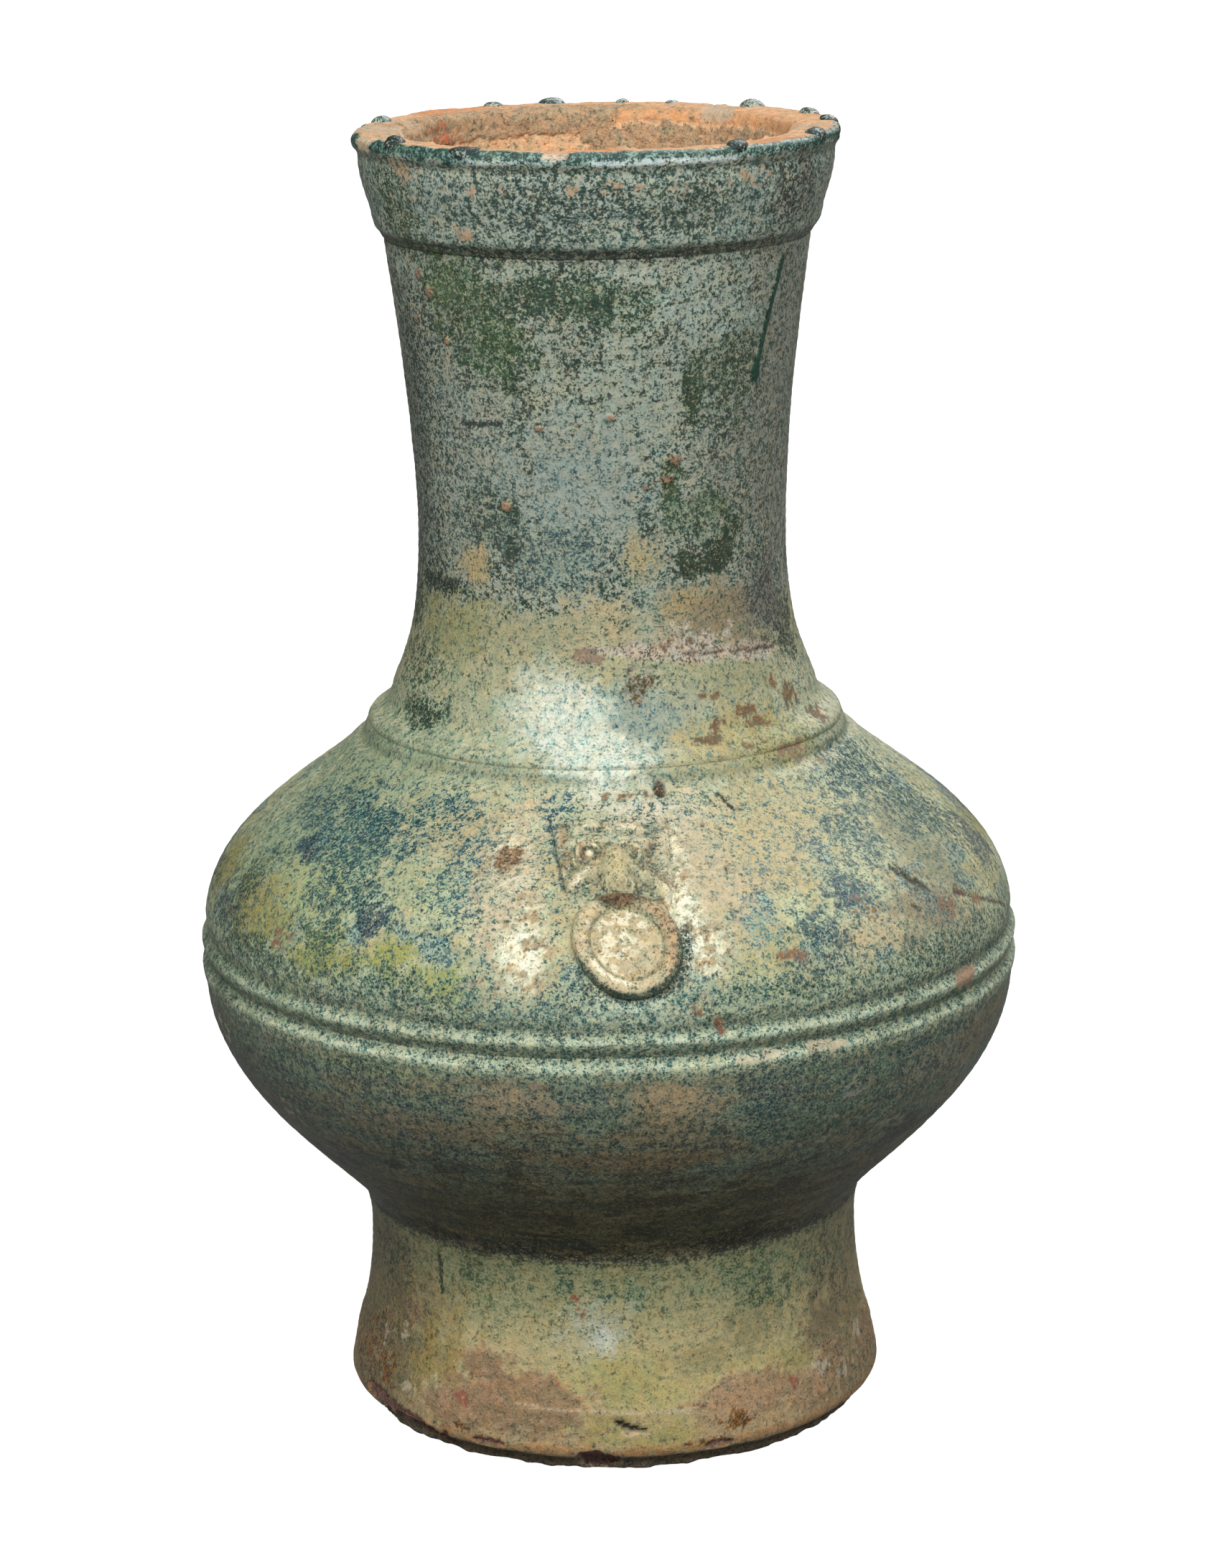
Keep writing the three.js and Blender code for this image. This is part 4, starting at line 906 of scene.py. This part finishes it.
def build_mesh(name, vertices, faces, surface, material, sharp=None):
    """A mesh from (n, 3) places in millimetres and (m, 4) faces, with its glaze attributes.

    A face whose last two corners are the same is a triangle."""
    mesh = bpy.data.meshes.new(name)
    corners = np.where(faces[:, 3] == faces[:, 2], 3, 4)
    loops = faces.ravel()[(np.arange(4) < corners[:, None]).ravel()]
    mesh.vertices.add(len(vertices))
    mesh.vertices.foreach_set("co", (vertices * MM).astype(np.float32).ravel())
    mesh.loops.add(len(loops))
    mesh.loops.foreach_set("vertex_index", loops.astype(np.int32))
    mesh.polygons.add(len(faces))
    mesh.polygons.foreach_set("loop_start", np.concatenate([[0], np.cumsum(corners)[:-1]]).astype(np.int32))
    mesh.polygons.foreach_set("use_smooth", np.ones(len(faces), bool))
    mesh.update(calc_edges=True)
    if sharp is not None:
        ends = np.zeros(len(mesh.edges) * 2, np.int32)
        mesh.edges.foreach_get("vertices", ends)
        ends = ends.reshape(-1, 2)
        hard = sharp[ends[:, 0]] & (sharp[ends[:, 0]] == sharp[ends[:, 1]])
        mesh.attributes.new("sharp_edge", "BOOLEAN", "EDGE").data.foreach_set("value", hard)
    one = np.ones(len(vertices))
    layers = {
        "pale": np.stack([*surface.pale.T, one], axis=1),
        "stain": np.stack([*surface.stain.T, one], axis=1),
        "marks": np.stack([surface.amount, surface.fleck, surface.crackle, one], axis=1),
        "finish": np.stack([surface.gloss, surface.bare, surface.crust, one], axis=1),
    }
    for layer, values in layers.items():
        attribute = mesh.attributes.new(layer, "FLOAT_COLOR", "POINT")
        attribute.data.foreach_set("color", np.clip(values, 0, 1).astype(np.float32).ravel())
    mesh.materials.append(material)
    obj = bpy.data.objects.new(name, mesh)
    bpy.context.scene.collection.objects.link(obj)
    return obj


def turned(radius, turn, height):
    """Places about Z, from their radii, their turns from the front in radians and heights."""
    return np.stack([radius * np.sin(turn), -radius * np.cos(turn), height], axis=-1)


def around(outline):
    """The places of an outline turned about Z, row by row."""
    turn = 2 * math.pi * np.arange(SEGMENTS) / SEGMENTS
    radius, height = (np.repeat(outline[:, i, None], SEGMENTS, axis=1) for i in (0, 1))
    return turned(radius, turn, height).reshape(-1, 3)


def fan(middle, start, count, flip=False):
    """Triangles from one vertex to the ring of count vertices from start on."""
    ring = start + np.arange(count)
    beside = np.roll(ring, -1)
    if flip:
        ring, beside = beside, ring
    return np.stack([np.full(count, middle), ring, beside, beside], axis=1)


def belt(low, high, count):
    """The faces between two rings of count vertices, one from low and one from high on."""
    ring = np.arange(count)
    beside = np.roll(ring, -1)
    return np.stack([low + ring, high + ring, high + beside, low + beside], axis=1)


def dome_faces(rows, count):
    """A fan round vertex 0 and belts between the rows rings of count vertices after it."""
    belts = [belt(1 + row * count, 1 + (row + 1) * count, count) for row in range(rows - 1)]
    return np.concatenate([fan(0, 1, count)] + belts)


def outward(outline):
    """The direction straight out of the wall at each place of an outline. At a
    joint between two sections it is level, so that both move alike there."""
    along = np.gradient(outline, axis=0)
    normal = np.stack([along[:, 1], -along[:, 0]], axis=1)
    normal /= np.maximum(np.linalg.norm(normal, axis=1), 1e-9)[:, None]
    for level in (FOOT_TOP, BELLY_JOINT, NECK_JOINT, CREASE):
        share = ramp(np.abs(outline[:, 1] - level), 0.0, 3.0)[:, None]
        normal = normal * share + np.array([1.0, 0.0]) * (1 - share)
    return normal / np.maximum(np.linalg.norm(normal, axis=1), 1e-9)[:, None]


def turned_piece(node, material, runs):
    """A section of the pot turned from runs of its outline, each an outline, the
    step between its rows and whether it is glazed. An outline that starts at the
    axis is closed there. The glazed runs carry the painted relief."""
    outlines, glazed, normals, corners = [], [], [], []
    for outline, step, is_glazed in runs:
        rows = spaced(np.array(outline, float), step)
        keep = np.ones(len(rows), bool)
        if not is_glazed:
            keep[0] = not outlines or not glazed[-1][-1]
            keep[-1] = (outline is runs[-1][0]) and not runs[0][2]
        outlines.append(rows[keep])
        normals.append(outward(rows)[keep])
        glazed.append(np.full(keep.sum(), is_glazed))
        edge = np.zeros(keep.sum(), int)
        edge[0] = 2 * len(corners) + 1
        edge[-1] = 2 * len(corners) + 2
        corners.append(edge if is_glazed else edge * 0)
    outline, normal = np.concatenate(outlines), np.concatenate(normals)
    is_glazed, corner = np.concatenate(glazed), np.concatenate(corners)
    surface = Surface(around(outline))
    paint(surface)
    unglazed = np.repeat(~is_glazed, SEGMENTS)
    surface.lift[unglazed] = 0.05 * surface.fine[unglazed]
    surface.gloss[unglazed] = 0
    surface.crust[unglazed] = 0.2
    paint_clay(surface, unglazed.astype(float))
    vertices = surface.points + around(normal) * surface.lift[:, None]
    vertices[:, 2] = np.maximum(vertices[:, 2], 0)

    rows = len(outline)
    starts_at_axis = outline[0, 0] <= NEAR_AXIS
    first = np.arange(rows - 1 if starts_at_axis else rows)[:, None] * SEGMENTS
    after = (first + SEGMENTS) % (rows * SEGMENTS)
    column = np.arange(SEGMENTS)[None, :]
    beside = (column + 1) % SEGMENTS
    faces = np.stack(np.broadcast_arrays(
        first + column, first + beside, after + beside, after + column), axis=2).reshape(-1, 4)
    if starts_at_axis:
        for start, flip in ((0, True), ((rows - 1) * SEGMENTS, False)):
            faces = np.concatenate([faces, fan(start, start, SEGMENTS, flip)[1:-1]])
    obj = build_mesh(node + "_surface", vertices, faces, surface, material, np.repeat(corner, SEGMENTS))
    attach(obj, "root")
    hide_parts(node)


def sprig_piece(node, material, half_turn):
    """A pressed pad with the mask and the ring, its edge sunk into the shoulder's glaze."""
    turns = np.linspace(0, 2 * math.pi, SPRIG_COLUMNS, endpoint=False)
    reach = sprig_reach(turns) + PAD_EDGE
    shares = np.linspace(0, 1, SPRIG_ROWS + 1)[1:]
    across = np.concatenate([[0], (shares[:, None] * reach * np.cos(turns)).ravel()])
    up = np.concatenate([[0], (shares[:, None] * reach * np.sin(turns)).ravel()])

    along = RING_ALONG + up
    radius, height = (np.interp(along, shoulder_along, curve) for curve in shoulder_curve.T)
    outward_slope, upward_slope = (np.interp(along, shoulder_along, np.gradient(curve, shoulder_along))
                                   for curve in shoulder_curve.T)
    turn = (across - SPRIG_SKEW * up) / radius + math.radians(SPRIG_TURN + half_turn)

    def on_shoulder(lift):
        return turned(radius + upward_slope * lift, turn, height - outward_slope * lift)

    relief = sprig_relief(across, up)
    rows = relief[1:].reshape(SPRIG_ROWS, SPRIG_COLUMNS)
    smooth = rows
    for _ in range(6):
        padded = np.pad(smooth, ((2, 2), (0, 0)), mode="edge")
        beside_it = np.roll(smooth, 5, axis=1) + np.roll(smooth, -5, axis=1)
        smooth = (padded[:-4] + smooth + padded[4:] + beside_it) / 5
    hollow = np.concatenate([[0], (smooth - rows).ravel()])
    surface = Surface(on_shoulder(relief))
    paint_sprig(surface, across, up, hollow)
    worn = relief + 0.09 * surface.fine + 0.04 * surface.grit + surface.crust * 0.3 * surface.fine
    worn += 0.22 * cloud(on_shoulder(np.zeros(len(up))), 60, 2, 8)
    front = on_shoulder(worn)
    back = on_shoulder(np.full(len(up), -PAD_SUNK))
    behind = len(front)
    edge = behind - SPRIG_COLUMNS
    faces = np.concatenate([
        dome_faces(SPRIG_ROWS, SPRIG_COLUMNS),
        belt(edge, behind + 1, SPRIG_COLUMNS),
        fan(behind, behind + 1, SPRIG_COLUMNS, flip=True),
    ])
    vertices = np.concatenate([front, back[:1], back[edge:]])
    for name in ("pale", "stain", "amount", "fleck", "crackle", "gloss", "bare", "crust"):
        field = getattr(surface, name)
        setattr(surface, name, np.concatenate([field, field[:1], field[edge:]]))
    obj = build_mesh(node + "_relief", vertices, faces, surface, material)
    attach(obj, "root")
    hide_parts(node)


BEAD_ROWS, BEAD_COLUMNS = 23, 40
BEAD_RADIUS, BEAD_REACH, BEAD_LEAN = 70.7, 2.9, 0.4
# The radius at which a drop's half length is measured round the rim.
BEAD_TRACK = 70.4
# A drop's middle lies BEAD_DIP under the rim's top, and it hangs down further on the outside.
BEAD_DIP, BEAD_HANG, BEAD_HANG_OUTSIDE = 0.9, 2.4, 1.2


def bead_piece(node, slot, material, angle, half, height, darkness):
    """A drop of pooled glaze that hangs over the rim's outer edge."""
    polar = np.linspace(0, math.pi, BEAD_ROWS + 2)[1:-1]
    turn = np.linspace(0, 2 * math.pi, BEAD_COLUMNS, endpoint=False)
    polar, turn = np.meshgrid(polar, turn, indexing="ij")
    up = np.concatenate([[1], np.cos(polar).ravel(), [-1]])
    out = np.concatenate([[0], (np.sin(polar) * np.cos(turn)).ravel(), [0]])
    side = np.concatenate([[0], (np.sin(polar) * np.sin(turn)).ravel(), [0]])
    radius = BEAD_RADIUS + BEAD_REACH * out - BEAD_LEAN * np.maximum(up, 0)
    rise = up * (0.7 * height + BEAD_DIP)
    hang = up * (BEAD_HANG + BEAD_HANG_OUTSIDE * np.maximum(out, 0))
    level = RIM_TOP - BEAD_DIP + np.where(up > 0, rise, hang)
    points = turned(radius, math.radians(angle) + side * half / BEAD_TRACK, level)
    surface = Surface(points)
    one = np.ones(len(points))
    surface.cover(one, (150, 160, 150), (16, 38, 34), amount=0.2 + 0.7 * darkness, gloss=0.95, fleck=0.0)
    centre = points.mean(axis=0)
    vertices = centre + (points - centre) * (1 + 0.16 * surface.middle + 0.12 * surface.fine)[:, None]
    last = len(points) - 1
    faces = np.concatenate([
        dome_faces(BEAD_ROWS, BEAD_COLUMNS),
        fan(last, last - BEAD_COLUMNS, BEAD_COLUMNS, flip=True),
    ])
    obj = build_mesh(node + "_drop", vertices, faces, surface, material)
    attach(obj, "root")
    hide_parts(node)


class Graph:
    """Shorthand for the nodes of a material or the world."""

    def __init__(self, owner):
        self.nodes = owner.node_tree.nodes
        self.links = owner.node_tree.links

    def node(self, kind, inputs=(), **settings):
        made = self.nodes.new(kind)
        for name, value in settings.items():
            setattr(made, name, value)
        for name, value in dict(inputs).items():
            if isinstance(value, bpy.types.NodeSocket):
                self.links.new(value, made.inputs[name])
            else:
                made.inputs[name].default_value = value
        return made

    def sum(self, *terms):
        """The sum of pairs, each a socket and the number it is multiplied by."""
        total = 0.0
        for socket, factor in terms:
            total = self.node("ShaderNodeMath", {0: socket, 1: factor, 2: total},
                              operation="MULTIPLY_ADD").outputs[0]
        return total

    def times(self, a, b):
        return self.node("ShaderNodeMath", {0: a, 1: b}, operation="MULTIPLY").outputs[0]

    def plus(self, a, b):
        return self.node("ShaderNodeMath", {0: a, 1: b}, operation="ADD").outputs[0]

    def step(self, value, low, high, to_low=0.0, to_high=1.0, smooth=True):
        """One range of values made into another, with a smooth step or a straight one."""
        return self.node("ShaderNodeMapRange", {"Value": value, "From Min": low, "From Max": high,
                                                "To Min": to_low, "To Max": to_high},
                         interpolation_type="SMOOTHSTEP" if smooth else "LINEAR").outputs["Result"]

    def mix(self, factor, a, b, blend="MIX"):
        made = self.node("ShaderNodeMix", data_type="RGBA", blend_type=blend)
        for socket, value in ((made.inputs[0], factor), (made.inputs[6], a), (made.inputs[7], b)):
            if isinstance(value, bpy.types.NodeSocket):
                self.links.new(value, socket)
            else:
                socket.default_value = value
        return made.outputs[2]

    def filter(self, share, colour, by):
        """A colour, a share of it multiplied by another one."""
        return self.mix(share, colour, (*by, 1) if isinstance(by, tuple) else by, "MULTIPLY")

    def layer(self, name):
        """A painted layer as a colour, then its three parts."""
        colour = self.node("ShaderNodeAttribute", attribute_name=name)
        split = self.node("ShaderNodeSeparateColor", {"Color": colour.outputs["Color"]})
        return colour.outputs["Color"], *split.outputs


GLAZE_IOR = 1.55
# Sizes of the glaze's grain, in lumps a metre: the crackle's cells are about 1.45 mm across.
MOTTLE, SPECKLE, TONE, HUE, GRAIN, CRACKLE = 500, 1400, 420, 210, 1300, 690.0

# What the weathered film is multiplied by where it turns warm, cool or rosy and beside
# the stain, and what the stain is multiplied by where it turns teal and where it is deepest.
WARM, COOL, ROSY = (1.06, 0.95, 0.80), (0.80, 1.0, 1.02), (1.12, 0.93, 0.80)
HALO, TEAL, DEEPEST = (0.70, 0.94, 0.94), (0.74, 1.10, 1.18), (0.38, 0.50, 0.45)
BRIGHTEST, FLECK = (1.30, 1.30, 1.27), (0.50, 0.37, 0.24, 1)


def weathered_glaze(name):
    """Old lead glaze: a dark stain under a pale weathered film that has gone in
    specks, finely crackled, over buff clay. The painted layers say how much."""
    material = bpy.data.materials.new(name)
    material.use_nodes = True
    shader = material.node_tree.nodes["Principled BSDF"]
    g = Graph(material)
    place = g.node("ShaderNodeTexCoord").outputs["Object"]
    pale = g.layer("pale")[0]
    stain = g.layer("stain")[0]
    _, amount, fleck, crackle = g.layer("marks")
    _, gloss, bare, crust = g.layer("finish")

    def noise(scale, detail, rough):
        return g.node("ShaderNodeTexNoise", {"Vector": place, "Scale": scale, "Detail": detail,
                                             "Roughness": rough}).outputs["Fac"]

    mottle = noise(MOTTLE, 8, 0.80)
    speckle = noise(SPECKLE, 3, 0.6)
    tone = noise(TONE, 6, 0.7)
    hue = noise(HUE, 4, 0.65)
    grain = noise(GRAIN, 2, 0.5)
    cells = g.node("ShaderNodeTexVoronoi", {"Vector": place, "Scale": CRACKLE})
    cell = g.node("ShaderNodeSeparateColor", {"Color": cells.outputs["Color"]}).outputs[0]
    cracks = g.node("ShaderNodeTexVoronoi", {"Vector": place, "Scale": CRACKLE}, feature="DISTANCE_TO_EDGE")
    line = g.times(g.step(cracks.outputs["Distance"], 0.02, 0.13, 1.0, 0.0), crackle)

    # How deep the stain lies: painted amount, grain, and each crackle cell's own share.
    cell_share = g.times(cell, crackle)
    depth = g.sum((amount, 1.0), (mottle, 4.2), (speckle, 2.5), (cell_share, 0.34), (crackle, -0.17))
    depth = g.plus(depth, -3.35)
    stained = g.step(depth, 0.42, 0.66)
    deep = g.step(depth, 0.72, 1.15)

    film = g.filter(1.0, pale, g.step(tone, 0.36, 0.64, 0.78, 1.24, False))
    film = g.filter(g.times(g.step(hue, 0.50, 0.62), 0.8), film, WARM)
    film = g.filter(g.times(g.step(hue, 0.48, 0.38), 0.45), film, COOL)
    film = g.filter(g.times(g.step(grain, 0.47, 0.40), 0.5), film, ROSY)
    beside = g.times(g.step(depth, 0.16, 0.44), g.step(bare, 0, 1, 0.5, 0.0, False))
    film = g.filter(beside, film, HALO)

    under = g.filter(1.0, stain, g.step(tone, 0.36, 0.64, 0.70, 1.40, False))
    under = g.filter(g.times(g.step(hue, 0.55, 0.44), 0.8), under, TEAL)
    under = g.filter(g.times(deep, 0.85), under, DEEPEST)

    colour = g.mix(stained, film, under)
    bright = g.times(g.step(depth, 0.16, 0.0), 0.55)
    colour = g.mix(bright, colour, g.filter(1.0, pale, BRIGHTEST))
    colour = g.mix(g.times(line, g.step(stained, 0, 1, 0.10, 0.50, False)), colour, pale)
    flecked = g.times(g.step(grain, 0.59, 0.66), fleck)
    colour = g.mix(flecked, colour, FLECK)
    pin_holes = g.step(speckle, 0.64, 0.70, 1.0, 0.45)
    colour = g.filter(1.0, colour, pin_holes)
    g.links.new(colour, shader.inputs["Base Color"])

    rough = g.plus(g.sum((stained, -0.12), (tone, 0.45)), 0.24)
    rough = g.times(rough, g.step(gloss, 0, 1, 1.0, 0.30, False))
    rough = g.node("ShaderNodeMix", {0: bare, 2: rough, 3: 0.92}, data_type="FLOAT").outputs[0]
    g.links.new(rough, shader.inputs["Roughness"])
    shader.inputs["IOR"].default_value = GLAZE_IOR

    calm = g.step(gloss, 0, 1, 1.0, 0.45, False)
    glaze_height = g.sum((stained, -0.06), (speckle, 0.35), (mottle, 0.9), (line, -0.03), (grain, 0.12))
    height = g.sum((g.times(glaze_height, calm), 1.0), (g.times(tone, crust), 2.4),
                   (g.times(grain, bare), 0.3))
    bump = g.node("ShaderNodeBump", {"Height": height, "Strength": 1.0, "Distance": 0.001})
    g.links.new(bump.outputs["Normal"], shader.inputs["Normal"])
    return material


# The bare walls of each section, from where its glazed outside ends: radius and level.
JAR_FLOOR = FOOT_TOP + 11
foot_inside = [(65.4, FOOT_TOP), (64.4, 50), (65.6, 33), (68.2, 17), (68.2, 6), (67.4, 1.4),
               (68.4, 0.2), (77.6, 0)]
bowl_inside = [(girth[0], BELLY_JOINT), (116.5, BELLY_JOINT), (114.3, 130), (105, 112.5), (90.6, 95.3),
               (73.5, 80), (66, JAR_FLOOR), (NEAR_AXIS, JAR_FLOOR)]
shoulder_inside = [neck_joint, (60.5, NECK_JOINT), (81.3, 201), (103.5, 183), (114.9, 165),
                   (116.5, BELLY_JOINT), (girth[0], BELLY_JOINT)]
neck_inside = [crease, (55.9, CREASE), (50.0, 331), (46.6, 293), (47.3, 256), (60.5, NECK_JOINT),
               neck_joint]

SECTIONS = {
    "foot_ring": ("foot_glaze", [(foot_outside, ROW_STEP, True),
                                 ([foot_top] + foot_inside, NARROW_STEP, False)]),
    "lower_belly": ("belly_glaze", [([(NEAR_AXIS, FOOT_TOP), foot_top], WIDE_STEP, False),
                                    (bowl_outside, ROW_STEP, True),
                                    (bowl_inside, WIDE_STEP, False)]),
    "upper_belly": ("shoulder_glaze", [(shoulder_outside, ROW_STEP, True),
                                       (shoulder_inside, WIDE_STEP, False)]),
    "neck": ("neck_glaze", [(neck_outside, ROW_STEP, True), (neck_inside, NARROW_STEP, False)]),
    "mouth_collar": ("rim_glaze", [(collar_outside, RIM_STEP, True),
                                   ([(55.9, CREASE), crease], NARROW_STEP, False)]),
}
for node, (slot, runs) in SECTIONS.items():
    turned_piece(node, weathered_glaze(slot), runs)

sprig_glaze = weathered_glaze("sprig_glaze")
sprig_piece("mask_ring_front", sprig_glaze, 0)
sprig_piece("mask_ring_back", sprig_glaze, 180)

# Glaze drops round the rim: angle, half length, height and how dark each is.
bead_glaze = weathered_glaze("bead_glaze")
for number, drop in enumerate((
        (-32, 5.2, 0.6, 1.0), (-56, 4.2, 2.6, 1.0), (-112, 2.8, 1.4, 0.4), (-153, 3.3, 1.8, 0.5),
        (-169, 4.2, 2.3, 0.5), (173, 2.4, 1.3, 0.3), (160, 2.4, 1.2, 0.2), (136, 4.6, 2.6, 0.2),
        (112, 3.8, 2.1, 0.7), (96, 3.6, 2.0, 0.9), (66, 4.4, 2.0, 0.9), (35, 4.0, 2.2, 1.0)), 1):
    bead_piece(f"rim_glaze_bead_{number:02d}", "bead_glaze", bead_glaze, *drop)


FLOOR_COLOUR = (0.20, 0.20, 0.197, 1)
# What the camera sees the floor shine with, and what the sky lights the vase with.
FLOOR_SHINE = 0.95
SKY_LIGHT = 0.15


def backdrop():
    """A grey floor in metres that curves up into a wall behind the vase, white to the camera."""
    width, front, back, height, bend, steps = 8.0, -4.0, 3.0, 5.0, 1.2, 24
    path = [(front, 0.0), (back - bend, 0.0)]
    for i in range(1, steps + 1):
        turn = math.pi / 2 * i / steps
        path.append((back - bend + bend * math.sin(turn), bend - bend * math.cos(turn)))
    path.append((back, height))
    vertices = [(x, y, z) for y, z in path for x in (-width / 2, width / 2)]
    faces = [(2 * i, 2 * i + 1, 2 * i + 3, 2 * i + 2) for i in range(len(path) - 1)]
    mesh = bpy.data.meshes.new("floor")
    mesh.from_pydata(vertices, [], faces)
    for polygon in mesh.polygons:
        polygon.use_smooth = True
    material = bpy.data.materials.new("floor_paper")
    material.use_nodes = True
    g = Graph(material)
    shader = g.nodes["Principled BSDF"]
    shader.inputs["Base Color"].default_value = FLOOR_COLOUR
    shader.inputs["Roughness"].default_value = 0.9
    shader.inputs["Specular IOR Level"].default_value = 0.1
    shader.inputs["Emission Color"].default_value = (1, 1, 1, 1)
    seen = g.node("ShaderNodeLightPath").outputs["Is Camera Ray"]
    g.links.new(g.times(seen, FLOOR_SHINE), shader.inputs["Emission Strength"])
    mesh.materials.append(material)
    obj = bpy.data.objects.new("floor", mesh)
    bpy.context.scene.collection.objects.link(obj)
    return obj


backdrop()


def area_light(name, place, size, power):
    """A square light in metres and watts, turned to the middle of the vase."""
    light = bpy.data.lights.new(name, "AREA")
    light.size = size
    light.energy = power
    obj = bpy.data.objects.new(name, light)
    obj.location = place
    obj.rotation_euler = (VASE_MIDDLE - Vector(place)).to_track_quat("-Z", "Y").to_euler()
    bpy.context.scene.collection.objects.link(obj)


VASE_HEIGHT = 0.4
VASE_MIDDLE = Vector((0, 0, VASE_HEIGHT / 2))
area_light("key_light", (-0.46, -1.38, 1.60), 0.9, 34)
area_light("right_light", (0.78, -1.40, 1.44), 0.6, 22)
area_light("left_light", (-1.4, -0.6, 1.05), 0.8, 3.0)
area_light("back_light", (0.8, 1.5, 1.5), 1.0, 26)

world = bpy.data.worlds.new("studio")
bpy.context.scene.world = world
world.use_nodes = True
sky = Graph(world)
background = sky.nodes["Background"]
background.inputs["Color"].default_value = (1, 1, 1, 1)
seen_sky = sky.node("ShaderNodeLightPath").outputs["Is Camera Ray"]
sky.links.new(sky.step(seen_sky, 0.0, 1.0, SKY_LIGHT, 1.0, False), background.inputs["Strength"])

# The photograph's camera: focal length and picture height in pixels, distance and level
# in heights of the vase, tipped down by PITCH and turned by ROLL about its axis in radians.
FOCAL_LENGTH, PICTURE_HEIGHT = 6000, 2184
SENSOR_HEIGHT = 36
DISTANCE, LEVEL = 3.2498, 1.3337
PITCH = 0.2542
ROLL = 0.0159
camera_data = bpy.data.cameras.new("camera")
camera_data.lens = FOCAL_LENGTH / PICTURE_HEIGHT * SENSOR_HEIGHT
camera_data.sensor_fit = "VERTICAL"
camera_data.sensor_height = SENSOR_HEIGHT
camera = bpy.data.objects.new("camera", camera_data)
camera.matrix_world = (Matrix.Translation((0, -DISTANCE * VASE_HEIGHT, LEVEL * VASE_HEIGHT))
                       @ Matrix.Rotation(math.pi / 2 - PITCH, 4, "X")
                       @ Matrix.Rotation(-ROLL, 4, "Z"))
bpy.context.scene.collection.objects.link(camera)
bpy.context.scene.camera = camera
bpy.context.view_layer.update()

bpy.context.scene.view_settings.view_transform = "Standard"
